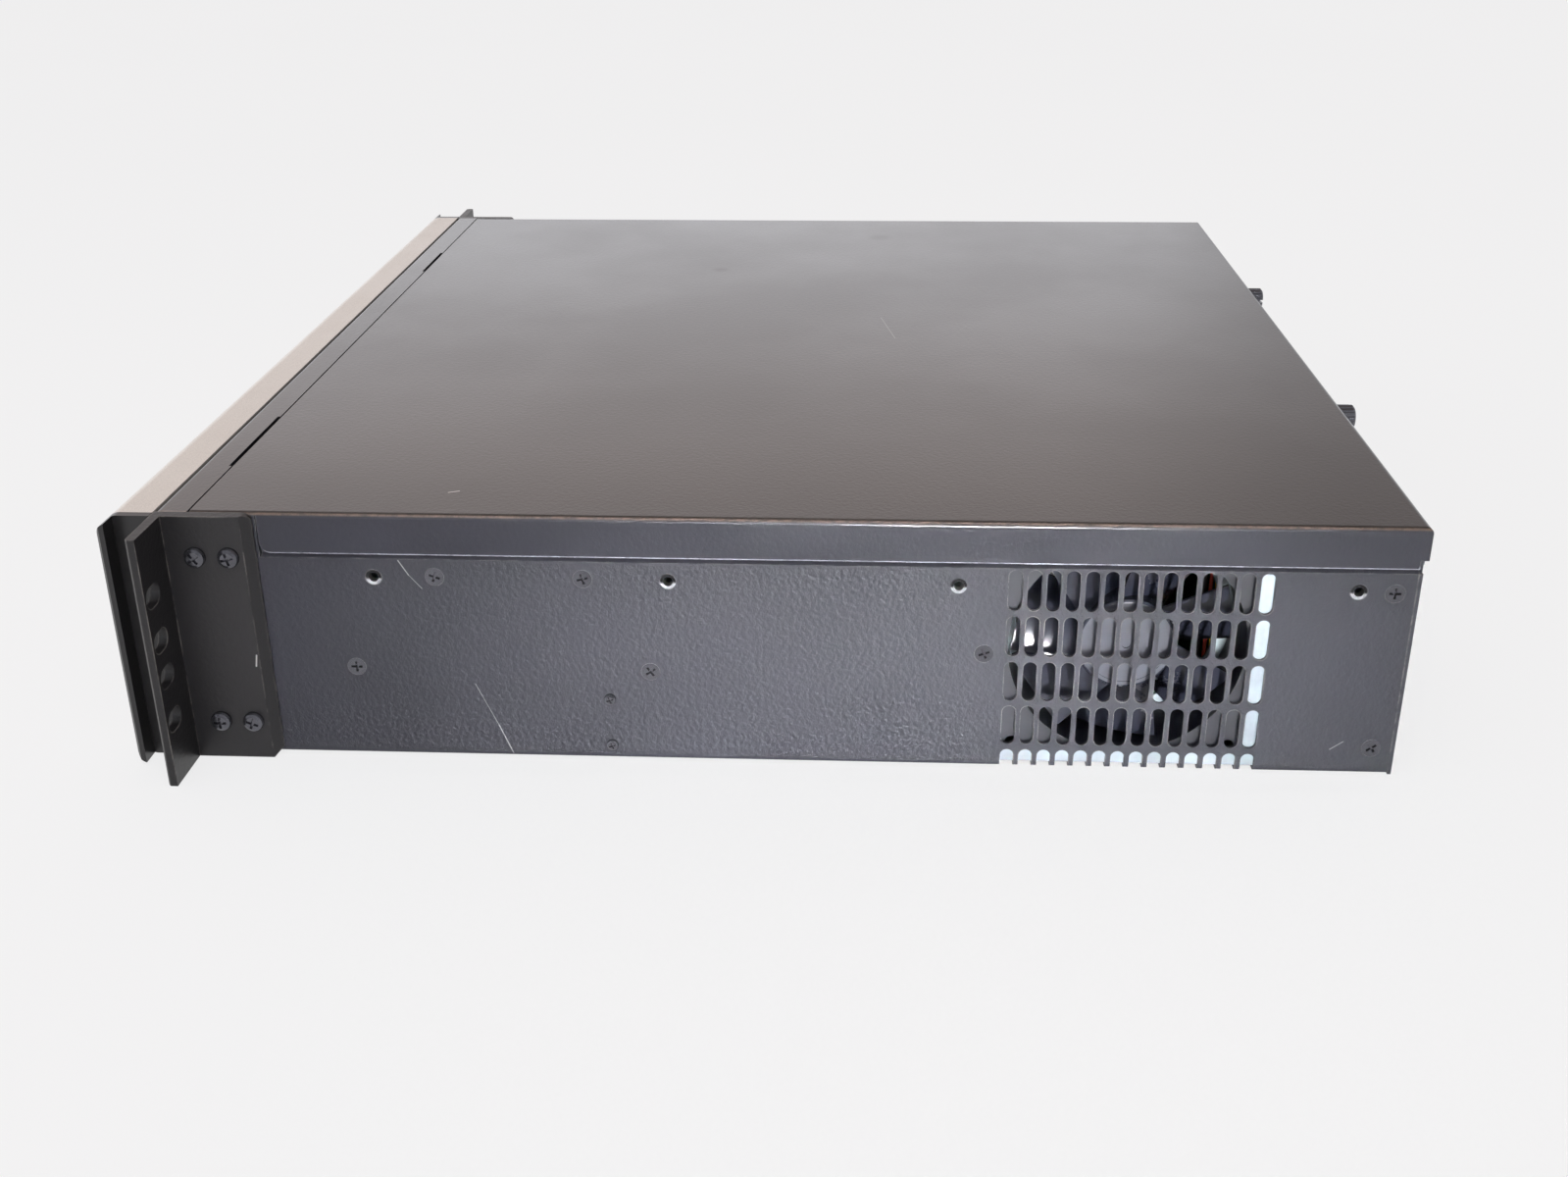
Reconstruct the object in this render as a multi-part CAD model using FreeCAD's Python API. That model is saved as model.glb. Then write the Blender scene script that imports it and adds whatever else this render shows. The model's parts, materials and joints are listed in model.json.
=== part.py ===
import FreeCAD, Part
import math
import os

# A two-unit rack server in a short 19-inch case.  Millimetres.
# X is across the rack, Y runs from the front (-Y) to the back (+Y), Z is up.
# The origin is on the underside, midway between the sides, in the rack's mounting plane,
# which is the rear face of the two ear flanges.

V = FreeCAD.Vector

# ---- driving sizes: case -------------------------------------------------------------------
case_width = 430.0
sheet = 1.0                     # steel sheet of the whole case
bend = 1.8                      # outside radius of the folded edges
panel_sheet = 1.2               # front frame and rear panel
seat = 0.2                      # gap between pieces that seat on each other across painted faces
fit_gap = 0.3                   # clearance round pieces that slide past each other
over = 1.0                      # how far a cutter reaches past the face it opens
on_face = 0.1                   # an edge nearer than this lies on the face

# ---- top cover -----------------------------------------------------------------------------
front_strip = 10.6              # fixed strip of the front frame, ahead of the cover
seam_gap = 0.6
seam_relief = 1.0               # deeper cut in the strip beside each cover tab
seam_reliefs = ((68.0, 52.0), (-99.0, 38.0))    # distance inside the nearer side, width
cover_side = 14.0               # height of the folded flanges at the sides and the back
cover_behind_ear = 1.2          # flange starts this far behind the ear bracket
cover_corner = 3.5
cover_notch_depth = 1.5         # notch at the foot of the rear corners
cover_notch_height = 3.0
cover_notch_reach = 4.0
panel_ledge = 9.0               # rear panel's flange under the cover
panel_flange = 14.0             # rear panel's flanges along the side walls
panel_flange_rise = 4.0
tray_flange = 8.0               # side walls' top flange under the cover
band_root = 1.2                 # straight wall left below the side walls' inward step
band_offset = 0.4               # keeps the sheet's thickness through that step
thumbscrew_spacing = 172.0
thumbscrew_below_top = 8.0
thumbscrew_radius = 5.0
thumbscrew_length = 8.0
thumbscrew_chamfer = 0.8
thumbscrew_neck = 3.6           # radius of the neck between knob and cover
thumbscrew_neck_length = 1.2
thumbscrew_slot = 1.4
thumbscrew_slot_depth = 1.6
thumbscrew_grooves = 18
thumbscrew_groove = 0.6         # radius of each groove
thumbscrew_shank = 1.6
thumbscrew_point = 0.5          # chamfer at the shank's end
thumbscrew_turn = 65.0          # degrees from the left one's slot to the right one's
thumbscrew_grip = 7.0           # how far the shank reaches in front of the cover's rear flange

# ---- rack ears -----------------------------------------------------------------------------
rack_unit = 44.45
ear_reach = 24.0                # flange beyond the case's side
ear_hole_reach = 17.55          # slot centres beyond the case's side, 465.1 apart
ear_slot_height = 7.2
ear_slot_length = 10.6
ear_hole_inner_pitch = 12.7
ear_flange = 3.2                # thickness across the rack's mounting plane
ear_leg = 4.0                   # thickness of the leg on the case's side
ear_leg_length = 28.5
ear_bevel = 2.8                 # long bevel down the leg's rear edge
ear_bevel_share = 0.8           # share of the leg's thickness that it takes
ear_clip = 2.6                  # clipped foot and rounded top of the leg's rear corners
ear_tip_chamfer = 0.8
ear_screw_first = 9.7
ear_screw_pitch = 11.0
ear_screw_inset = 14.0          # upper and lower screws from the leg's ends

# ---- bezel ---------------------------------------------------------------------------------
bezel_depth = 15.0
bezel_wall = 2.5
bezel_nose = 4.2                # radius of the long front edges
bezel_overhang = 1.0            # bezel wider than the case on each side
bezel_bottom = 0.5
bezel_end = 6.0                 # solid end blocks of the shell
lip_reach = 7.0
lip_thickness = 2.9
lip_bottom = 0.8
lip_radius = 1.2
intake_margin = 5.0             # intake louvres beyond the two front fans
intake_rows = 11
intake_pitch = 6.0
intake_slot = 3.4
intake_drop = 1.6               # how far each louvre slopes down towards the front
intake_columns = 4
intake_rib = 4.0
drive_louvre_inset = 4.0        # louvres of the drive cage inside the drive's width
bezel_tab = 2.0                 # locating tabs on its back
bezel_tab_height = 8.0
bezel_tab_reach = 3.0
bezel_tab_inset = 2.6           # from the case's side
bezel_tab_spread = 48.0

# ---- side vent -----------------------------------------------------------------------------
vent_columns = 14
vent_rows = 4
vent_margin = 5.4               # vent wider than the fan behind it, both sides together
vent_bridge = 1.7               # metal between two columns
vent_row_bridge = 2.1           # metal between two rows
vent_first_row = 15.8           # middle of the lowest closed row
vent_top_inset = 23.3           # middle of the top row below the cover's top
vent_edge_top = 6.6             # top of the slots that run round the bottom edge
vent_under = 7.0                # how far those slots run under the floor
vent_from_rear = 87.0           # vent's middle ahead of the rear face

# ---- side fixings --------------------------------------------------------------------------
slide_nut_front = (66.0, 162.0)     # two front slide nuts behind the mounting plane
slide_nut_rear = 19.0               # rearmost one ahead of the rear face
slide_nut_below_top = 22.0
slide_nut_radius = 3.4
slide_nut_length = 2.0
slide_nut_shank = 2.6           # fills the wall's hole
slide_nut_sink = 0.5            # overlap of the shank with the nut's body
slide_nut_clear = 0.5           # between a nut and the fan bracket
slide_thread_radius = 1.65
cage_fixing_shares = ((0.254, 0.46), (0.932, 0.46), (0.455, 0.934), (0.788, 0.934))
foot_fixing_shares = ((0.836, 0.311), (0.836, 0.063))   # shares of the cage's length and height
bracket_fixing_height = 42.0
panel_fixing_rear = 7.7         # rear panel's side screws ahead of the rear face
panel_fixing_low = 9.8
panel_fixing_below_top = 22.4
flat_head_radius = 3.1
flat_head_depth = 1.0
small_head_radius = 2.0
pan_head_radius = 3.5
pan_head_share = 0.66           # head height as a share of its radius
recess_reach = 1.2              # driver recess: its reach, width and depth
recess_width = 0.26             # as shares of the head's radius
recess_depth = 0.3
recess_angle = 20.0
screw_turn = 35.0               # each screw of a row stands turned this much further
screw_radius = 1.45
short_side_screw = 3.0
long_side_screw = 4.5
screw_gap = 0.1

# ---- fans ----------------------------------------------------------------------------------
case_fan = 80.0
case_fan_depth = 25.0
case_fan_margin = 4.0           # case above and below an 80 mm fan
power_fan = 60.0
power_fan_depth = 20.0
power_fan_inset = 5.0           # from the supply's right side
cooler_fan_inset = 9.0          # cooler fan narrower than the cooler on each side
cooler_fan_depth = 15.0
fan_hub_share = 0.2             # hub radius as a share of the frame's width
fan_wall = 1.6
fan_tip_gap = 0.9
fan_recess = 2.0                # rotor face below the frame's face
fan_motor_plate = 3.0
fan_strut = 3.0
fan_flange = 3.5
fan_corner_hole = 2.15
fan_hole_inset = 4.25
fan_screw_length = 11.0
fan_screw_head = 1.6
fan_blades = 7
blade_thickness = 1.3
blade_pitch = 38.0              # degrees between a blade's chord and the disc
blade_sag = 0.1                 # camber as a share of the chord
blade_rise_share = 0.74         # share of the hub's height that a blade fills
blade_crest = 0.3               # crest ahead of the middle, as a share of the camber
blade_root_share = 1.2          # widest root chord against the hub's radius
blade_tip_share = 1.35          # tip chord against root chord
blade_tip_rise = 0.8            # tip rise against root rise
blade_root_sink = 0.8           # blade root inside the hub
hub_edge = 1.2
hub_rim = 2.4                   # rim round the hub's sunk face
hub_face_depth = 0.3
hub_dimple = 1.5                # radius of the dimple at its centre
hub_dimple_depth = 0.6
shaft_radius = 1.5
shaft_clearance = 0.05
shaft_end = 0.2                 # shaft ends this far inside the motor plate
rotor_gap = 0.4                 # between rotor and motor plate
guard_inner_share = 0.085       # punched fan guards: plain centre, outer edge and slot width
guard_outer_share = 0.475
guard_slot_share = 0.6
guard_sectors = 4               # slots of one ring
guard_sweep = 72.0              # degrees of each slot
case_guard_rings = 4
power_guard_rings = 3

side_fan_ahead = 2.5            # side fan's middle ahead of the vent's
bracket_sheet = 1.0
bracket_top_short = 2.0         # bracket's top below the fan's
bracket_lip = 7.6               # top edge of the lip below the fan, along the wall
bracket_lip_start = 1.5
bracket_opening_inset = 6.0     # round air opening inside the fan's frame
bracket_front_flange = 11.0
bracket_rear_flange = 12.0
bracket_fixing_inset = 5.1      # its screw behind the front flange's edge
front_fan_gap = 6.0             # between the two front fans

# ---- drive cage ----------------------------------------------------------------------------
drive_width = 101.6
drive_height = 26.1
drive_length = 147.0
drive_edge = 3.0                # radius of its upright corners
drive_step = 3.0                # lid above the cast body
drive_lid_inset = 4.0
drive_lid_short = 18.0
drive_lid_corner = 8.0
drive_socket_start = 10.0       # power and data sockets in its back
drive_socket_width = 52.0
drive_socket_height = 6.0
drive_socket_depth = 8.0
drive_side_gap = 1.2
drive_rise = 5.0
drive_proud = 4.0               # drive sticks out of the cage's back
pad_width = 8.0
pad_inset = 3.0
pad_short = 8.0
cage_start = 20.0
cage_short = 2.0                # cage shorter than a drive
cage_below_step = 1.5           # cage's top under the side wall's inward step
cage_sheet = 1.0
cage_slot = 4.0                 # narrow air slots in the cage's left side and top
cage_slot_pitch = 9.0
cage_slot_rows = 3              # rows of slots beside each drive
cage_slot_columns = 2
cage_slot_inset = 14.0
cage_slot_rise = 9.0            # first row above each drive bay's floor
drive_vent_columns = 3          # slots in the front frame ahead of the drives
drive_vent_pitch = 30.0
drive_vent_width = 22.0
drive_vent_rows = 5
drive_vent_bottom = 20.0
drive_vent_rise = 11.0
drive_vent_slot = 4.0

# ---- main board ----------------------------------------------------------------------------
board_thickness = 1.6
board_behind = 1.6              # gap between board edge and rear panel
board_to_cage = 6.2
board_side_gap = 1.5            # between board and side fan bracket
board_hole_radius = 1.9
board_hole_inset = 6.35
board_hole_rear = 10.2
board_hole_back_share = 0.531   # middle row of fixings ahead of the rear edge
board_hole_side_share = 0.385   # middle column from the left edge
standoff_height = 6.5
standoff_radius = 3.0
standoff_head = 2.8
standoff_head_top = 2.3
standoff_head_height = 1.6
io_width = 158.75
io_height = 44.45
io_right = 2.0                  # shield opening's edge inside the board's right edge
io_below_board = 2.3
io_frame = 0.8
slot_pitch = 20.32
slot_count = 4
slot_first = 12.5               # first slot's centre, left of the shield opening
slot_last = 9.8                 # last slot's centre inside the board's left edge
slot_opening_width = 13.0
slot_opening_low = 4.0          # opening's edges inside the slot cover's ends
slot_opening_top = 7.0
slot_cover_width = 18.4
slot_cover_below_top = 8.0
slot_cover_sheet = 0.9
slot_cover_tab = 10.0
slot_base = 6.0
slot_screw_ahead = 5.0
slot_screw_length = 3.5
slot_screw_head = 3.0
slot_rail_gap = 1.0
slot_rail_depth = 10.0
slot_post_height = 12.0
card_slot_width = 7.6
card_slot_height = 11.0
card_slot_long = 89.0
card_slot_short = 25.0
card_slot_behind = 44.0         # rear end of the card sockets ahead of the board's rear edge
card_slot_groove = 1.8
card_slot_wall = 2.0
card_slot_floor = 4.0
cooler_width = 88.0
cooler_height = 36.0
cooler_base = 6.0
cooler_fins = 16
fin_thickness = 1.0
fin_sink = 0.1                  # fins and posts start this far inside what they stand on
cooler_left = 78.0              # cooler centre from the board's right edge
cooler_ahead = 112.0            # cooler centre ahead of the board's rear edge
cooler_foot_inset = 7.0
cooler_foot_radius = 3.5
socket_width = 46.0
socket_height = 4.0
socket_corner = 2.0
memory_length = 133.4
memory_height = 30.0
memory_thickness = 3.6
memory_card = 1.2
memory_sink = 3.0               # card's lower edge above the board
memory_pitch = 10.0
memory_count = 2
memory_left = 32.0              # memory's right end from the board's right edge
memory_behind = 26.0            # first module behind the board's front edge
memory_chips = 8
memory_chip_share = 0.63        # chip's width against the space for it
memory_chip_low = 11.0
memory_chip_high = 26.0
memory_notch = 1.5
memory_notch_share = 0.42
memory_slot_width = 6.5
memory_slot_height = 9.0
memory_latch = 8.0
memory_latch_height = 18.0
memory_latch_gap = 1.5
memory_groove_gap = 0.1
chipset_width = 40.0
chipset_height = 18.0
chipset_base = 4.0
chipset_fins = 9
chipset_fin = 1.5
chipset_left = 20.0             # chipset's right edge from the cooler's left side
chipset_ahead = 3.0             # its rear edge ahead of the long card socket
chipset_behind = 10.75          # its front edge behind the memory's sockets
power_socket_left = 30.0        # board's supply socket from its left edge
power_socket_width = 52.0
power_socket_depth = 10.0
power_socket_height = 13.0
power_socket_edge = 2.0
extra_socket_width = 21.0
extra_socket_ahead = 38.0
data_sockets = 4
data_socket_width = 17.0
data_socket_depth = 6.0
data_socket_pitch = 9.0
data_socket_height = 8.0
data_socket_left = 12.5
data_socket_behind = 63.0
header_width = 5.0
header_length = 10.0
header_height = 6.0
header_right = 3.2
header_behind_fan = 30.5
capacitor_radius = 4.0
capacitor_height = 11.0
capacitor_from_cooler = 8.0
capacitor_row = 7               # beside the processor
capacitor_pitch = 12.0
capacitor_front_row = 4         # left of the memory
capacitor_front_pitch = 11.0
capacitor_from_memory = 6.0
capacitor_front_behind = 34.0
choke_width = 10.0
choke_depth = 9.0
choke_height = 7.0
choke_count = 5
choke_pitch = 13.5
choke_behind_cooler = 3.0
battery_radius = 10.3
battery_height = 5.0
battery_right = 14.0            # its centre right of the chipset
battery_behind = 55.0

# ---- rear connectors -----------------------------------------------------------------------
io_recess = 0.6                 # connector faces inside the rear face
io_depth = 21.0
io_first = 8.0                  # first stack from the shield opening's right edge
stack_width = 17.0
stack_pitch = 21.0
stack_height = 29.0
jack_inset = 2.5
jack_depth = 14.0
jack_low = 17.5
jack_high = 26.5
port_inset = 1.8
port_depth = 12.0
port_low = 1.6
port_height = 5.2
port_pitch = 8.0
tongue_inset = 3.2
tongue_low = 4.4
tongue_height = 1.5
video_left = 40.0               # left edges of the other sockets from the second stack's
serial_left = 77.0
mouse_left = 96.0
dsub_width = 31.0
dsub_height = 12.5
dsub_middle = 11.0
dsub_shell = ((6.5, -8.2), (24.5, -8.2), (26.0, 0.0), (5.0, 0.0))   # across, up from its middle
dsub_reach = 6.6
dsub_opening = (4.0, 27.0, 1.8, 12.0)   # left, right, low and high edges in the shield
low_socket_depth = 13.0
mouse_width = 14.0
mouse_height = 13.0
mouse_radius = 4.6
mouse_depth = 8.0
mouse_opening = 6.0
shield_sheet = 0.3
shield_proud = 0.8
shield_rim = 2.0
shield_rim_low = 1.2
audio_holes = 3
audio_radius = 3.2
audio_left = 40.0
audio_pitch = 14.0
audio_below_top = 9.0

# ---- power supply --------------------------------------------------------------------------
supply_width = 100.0
supply_height = 70.0
supply_length = 190.0
supply_sheet = 1.0
supply_edge = 4.0               # rear panel's rim round the supply's opening
supply_ear = 12.0               # larger rim at the opening's corners, for the screws
supply_fixing_inset = 6.5
supply_screw_head = 3.2
supply_vents = 9
supply_vent = 4.2
supply_vent_pitch = 8.6
supply_vent_left = 14.0
supply_vent_low = 12.0
supply_vent_top = 30.0
supply_grommet = (24.0, 10.0, 22.0, 8.0)    # cable opening: insets from right side and top
inlet_from_side = 5.0
inlet_above_ear = 1.0
rocker_above_inlet = 4.0
inlet_width = 27.0
inlet_height = 20.0
inlet_depth = 17.0
inlet_wall = 1.5
inlet_flange = 1.2
inlet_step = 0.8                # cup narrower than its flange
inlet_opening_step = 0.6
inlet_corner = 4.0              # the two corners cut off the cup
inlet_blades = ((-7.0, -0.5), (7.0, -0.5), (0.0, 3.8))
inlet_blade_height = 4.0
inlet_blade_width = 2.0
inlet_blade_recess = 1.0
rocker_width = 12.6
rocker_height = 18.6
rocker_pivot_depth = 2.0
rocker_pin = 0.9                # radius of its pivot pin
rocker_pin_reach = 0.9          # how far the pin enters the switch body's walls
rocker_tilt = 9.0               # to either side of the middle; drawn switched off
rocker_profile = ((-3.0, 0.88), (2.2, 0.97), (5.4, 0.92))   # outward, share of half its height
rocker_dip = 3.4
rocker_end_gap = 2.2
switch_flange = 2.0
switch_flange_end = 1.5
switch_depth = 11.0
switch_wall = 1.5
switch_side = 1.2
switch_end = 1.7
switch_room_end = 3.0

# ---- front controls ------------------------------------------------------------------------
control_from_side = 55.0        # power button from the case's left side
control_z = 58.0
power_button_radius = 8.0
power_button_travel = 1.8
reset_button_radius = 2.4
reset_button_travel = 1.0
button_gap = 0.25
button_proud = 1.5
button_edge = 0.8
button_flange = 1.5
button_flange_gap = 0.4
button_flange_thickness = 1.2
button_stem_share = 0.5
button_pitch = 21.0             # from power button to reset button
lamp_radius = 1.5
lamp_gap = 0.05
lamp_proud = 0.3
lamp_first = 8.4                # first lamp from the reset button
lamp_pitch = 7.0
lamp_count = 2
usb_width = 13.2
usb_height = 5.8
usb_wall = 0.5
usb_tongue = (1.2, 0.2, 1.6)    # tongue's side gap, lower and upper edge from the middle
usb_proud = 0.2
usb_back = 3.0
usb_pitch = 20.0
usb_z = 28.0
control_margin = 8.0            # board's rim behind the front frame's opening
control_edge = 42.0             # from the power button to the board's left edge
control_reach = 52.0            # and to its right edge
control_below = 17.0            # board's edges below the sockets and above the buttons
control_above = 21.0
control_board_thickness = 1.6
control_board_gap = 1.0         # spacers between front frame and board
control_spacer = 2.5
power_switch = 4.0              # half the width of the switch behind each button
reset_switch = 2.5
switch_height = 3.2             # of the button switches above the board
switch_slack = 0.1              # left between a switch and a fully pressed button

# ---- cables --------------------------------------------------------------------------------
harness_radius = 4.5
harness_bend = 9.0
harness_drop = 15.0             # harness leaves the supply this far below its top
harness_inset = 17.0
harness_reach = 30.0            # straight run ahead of the supply
harness_rise = 22.0             # its last bend above the board's socket
lead_radius = 0.6
lead_offset = 2.0
lead_bend = 1.6
lead_rise = 0.3                 # slope of the wires between strut and header
lead_start = 0.8                # they leave the motor at this share of the hub's radius
data_lead_radius = 1.6
data_lead_from_edge = 22.0      # from the drive's left edge
data_lead_lane = 17.0           # its run behind the board's front edge
data_lead_height = 17.0
control_lead_radius = 1.5
control_lead_height = 12.0
control_lead_inset = 12.0       # inside the edges of both boards
control_lead_step = 8.0
lead_corner = 4.0

# ---- worked out from the sizes above -------------------------------------------------------
half = case_width / 2
case_height = case_fan + 2 * case_fan_margin
wall_face = half - sheet                        # inside face of the side walls
front_face = -ear_flange                        # front of the case, level with the ears
cage_length = drive_length - cage_short
cage_end = cage_start + cage_length
board_front = cage_end + board_to_cage
board_length = (memory_behind + memory_pitch * (memory_count - 1) + memory_slot_width / 2 + chipset_behind
                + chipset_width + chipset_ahead + card_slot_long + card_slot_behind)
board_rear = board_front + board_length
rear_face = board_rear + board_behind + panel_sheet
lid_underside = case_height - sheet
strip_end = front_face + front_strip
cover_start = strip_end + seam_gap
flange_start = ear_leg_length + cover_behind_ear
cover_end = rear_face + seat + sheet
band_bottom = case_height - cover_side - seat   # the side walls step inwards above this
band_face = wall_face - fit_gap                 # outside face of that step
wall_top = band_bottom - (half - band_face)     # where the side walls begin to step inwards
ear_face = half + ear_leg
bezel_half = half + bezel_overhang
bezel_back = front_face - seat
bezel_front = bezel_back - bezel_depth
fan_face = band_face - sheet - seat             # side fan's outer face, clear of the walls' step
vent_centre = rear_face - vent_from_rear
vent_pitch = (case_fan + vent_margin) / vent_columns
vent_slot = vent_pitch - vent_bridge
vent_row_pitch = (case_height - vent_top_inset - vent_first_row) / (vent_rows - 1)
vent_slot_height = vent_row_pitch - vent_row_bridge
side_fan_centre = vent_centre - side_fan_ahead
side_fan_height = case_height / 2
front_fan_height = case_height / 2
front_fan_pitch = case_fan + front_fan_gap
front_fan_y = front_face + panel_sheet
intake_width = front_fan_pitch + case_fan + 2 * intake_margin
bracket_front_web = side_fan_centre - case_fan / 2 - fit_gap
bracket_rear_web = side_fan_centre + case_fan / 2 + fit_gap
bracket_front = bracket_front_web - bracket_front_flange
bracket_rear = bracket_rear_web + bracket_rear_flange
bracket_fixing = (bracket_front + bracket_fixing_inset, bracket_fixing_height)
bracket_opening = case_fan / 2 - bracket_opening_inset
slide_nut_lengths = slide_nut_front + (bracket_front - slide_nut_clear - slide_nut_radius,
                                       rear_face - slide_nut_rear)
slide_nuts = [(y, case_height - slide_nut_below_top) for y in slide_nut_lengths]
panel_fixings = [(rear_face - panel_fixing_rear, z)
                 for z in (case_height - panel_fixing_below_top, panel_fixing_low)]
board_width = io_right + io_width + slot_first + slot_pitch * (slot_count - 1) + slot_last
board_right = fan_face - case_fan_depth - bracket_sheet - board_side_gap
board_left = board_right - board_width
board_bottom = sheet + standoff_height
board_top = board_bottom + board_thickness
io_x1 = board_right - io_right
io_x0 = io_x1 - io_width
io_z0 = board_top - io_below_board
io_z1 = io_z0 + io_height
slot_centres = [io_x0 - slot_first - slot_pitch * i for i in range(slot_count)]
slot_cover_top = case_height - slot_cover_below_top
cooler_fan = cooler_width - 2 * cooler_fan_inset
cooler_x = board_right - cooler_left
cooler_y = board_rear - cooler_ahead
cooler_top = board_top + socket_height + cooler_base + cooler_height
chipset_right = cooler_x - cooler_width / 2 - chipset_left
chipset_rear = board_rear - card_slot_behind - card_slot_long - chipset_ahead
supply_left = -(wall_face - slide_nut_length - fit_gap)
supply_right = supply_left + supply_width
supply_rear = rear_face - panel_sheet
supply_front = supply_rear - supply_length
supply_bottom = sheet
supply_top = supply_bottom + supply_height
supply_middle = supply_bottom + supply_height / 2
supply_fan_x = supply_right - power_fan / 2 - power_fan_inset
fan_header = (board_right - header_right, side_fan_centre + header_behind_fan)
data_socket_x = board_left + data_socket_left
data_socket_y = board_front + data_socket_behind
inlet_x = supply_left + inlet_width / 2 + inlet_from_side
inlet_z = supply_bottom + inlet_height / 2 + supply_ear + inlet_above_ear
rocker_z = inlet_z + inlet_height / 2 + rocker_height / 2 + rocker_above_inlet
control_x = -half + control_from_side
control_left = control_x - control_edge
control_right = control_x + control_reach
control_bottom = usb_z - control_below
control_top = control_z + control_above
control_board_front = front_face + panel_sheet + control_board_gap
switch_face = control_board_front - switch_height
cage_right = wall_face
cage_left = cage_right - 2 * cage_sheet - drive_width - 2 * drive_side_gap
cage_bottom = sheet
cage_top = wall_top - cage_below_step
cage_height = cage_top - cage_bottom
cage_fixings = [(cage_start + along * cage_length, cage_bottom + up * cage_height)
                for along, up in cage_fixing_shares]
foot_fixings = [(cage_start + along * cage_length, cage_bottom + up * cage_height)
                for along, up in foot_fixing_shares]
drive_x = (cage_left + cage_right) / 2
drive_bottom = cage_bottom + cage_sheet + drive_rise
drive_back = cage_end + drive_proud
thumbscrew_z = case_height - thumbscrew_below_top


# ---- building helpers ----------------------------------------------------------------------
def block(x0, x1, y0, y1, z0, z1):
    """A box between two opposite corners."""
    return Part.makeBox(x1 - x0, y1 - y0, z1 - z0, V(x0, y0, z0))


def rod(start, direction, radius, length):
    """A cylinder from a point along a direction."""
    return Part.makeCylinder(radius, length, V(*start), V(*direction))


def joined(shapes):
    """One shape fused from several, with shared flat faces merged."""
    result = shapes[0].multiFuse(shapes[1:]) if len(shapes) > 1 else shapes[0]
    return result.removeSplitter()


def group(shapes):
    """Separate solids kept together in one node."""
    return Part.makeCompound(shapes)


def without(shape, cutters):
    return shape.cut(Part.makeCompound(cutters))


def mirrored(shape):
    """The same shape on the other side of the case."""
    return shape.mirror(V(0, 0, 0), V(1, 0, 0))


def prism(points, move):
    """A flat polygon pushed along a vector."""
    corners = [V(*p) for p in points]
    wire = Part.makePolygon(corners + corners[:1])
    return Part.Face(wire).extrude(V(*move))


def turned(profile, start, direction):
    """A solid of revolution from (radius, height) points, stood at start along direction."""
    corners = [V(r, 0, h) for r, h in profile]
    face = Part.Face(Part.makePolygon(corners + corners[:1]))
    solid = face.revolve(V(0, 0, 0), V(0, 0, 1), 360)
    solid.Placement = FreeCAD.Placement(V(*start), FreeCAD.Rotation(V(0, 0, 1), V(*direction)))
    return solid


def edges_along(shape, direction, test):
    """Straight edges parallel to a direction whose middle passes a test."""
    found = []
    for edge in shape.Edges:
        if len(edge.Vertexes) != 2:
            continue
        run = edge.Vertexes[1].Point - edge.Vertexes[0].Point
        middle = (edge.Vertexes[1].Point + edge.Vertexes[0].Point) * 0.5
        if run.Length > 0 and abs(abs(run.normalize().dot(V(*direction))) - 1) < 1e-6 and test(middle):
            found.append(edge)
    return found


def slot_through_side(y, z0, z1):
    """A round-ended upright slot through the right side wall."""
    r = vent_slot / 2
    deep = sheet + 2 * fit_gap
    x0 = half - sheet - fit_gap
    body = block(x0, x0 + deep, y - r, y + r, z0 + r, z1 - r)
    ends = [rod((x0, y, z), (1, 0, 0), r, deep) for z in (z0 + r, z1 - r)]
    return joined([body] + ends)


def cross_recess(head_radius, top, turn):
    """Cross-shaped driver recess round the Z axis, open at the given height."""
    across = recess_reach * head_radius / 2
    wide = recess_width * head_radius / 2
    bar = block(-across, across, -wide, wide, top - recess_depth * head_radius, top + over)
    other = bar.copy()
    bar.rotate(V(0, 0, 0), V(0, 0, 1), turn)
    other.rotate(V(0, 0, 0), V(0, 0, 1), turn + 90)
    return joined([bar, other])


def pan_screw(start, direction, length, head_radius=pan_head_radius, turn=recess_angle):
    """A domed screw; start is under its head and direction points out of the head."""
    top = pan_head_share * head_radius
    dome = [(1.0, 0.0), (1.0, 0.4), (0.9, 0.72), (0.62, 0.96), (0.3, 1.0), (0.0, 1.0)]
    profile = [(0, -length), (screw_radius, -length), (screw_radius, 0)]
    profile += [(head_radius * wide, top * high) for wide, high in dome]
    screw = turned(profile, start, direction)
    return screw.cut(stood(cross_recess(head_radius, top, turn), start, direction))


def flat_screw(start, direction, length, head_radius=flat_head_radius, turn=recess_angle):
    """A countersunk screw whose flat head is level with start."""
    foot = head_radius - flat_head_depth
    profile = [(0, -length), (screw_radius, -length), (screw_radius, -flat_head_depth),
               (foot, -flat_head_depth), (head_radius, 0), (0, 0)]
    screw = turned(profile, start, direction)
    return screw.cut(stood(cross_recess(head_radius, 0, turn), start, direction))


def flat_seat(start, direction, head_radius=flat_head_radius):
    """The countersunk hole for a flat screw, right through the sheet."""
    top = head_radius + screw_gap
    foot = top - flat_head_depth
    profile = [(0, -2 * sheet), (foot, -2 * sheet), (foot, -flat_head_depth), (top, 0),
               (top, fit_gap), (0, fit_gap)]
    return turned(profile, start, direction)


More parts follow.
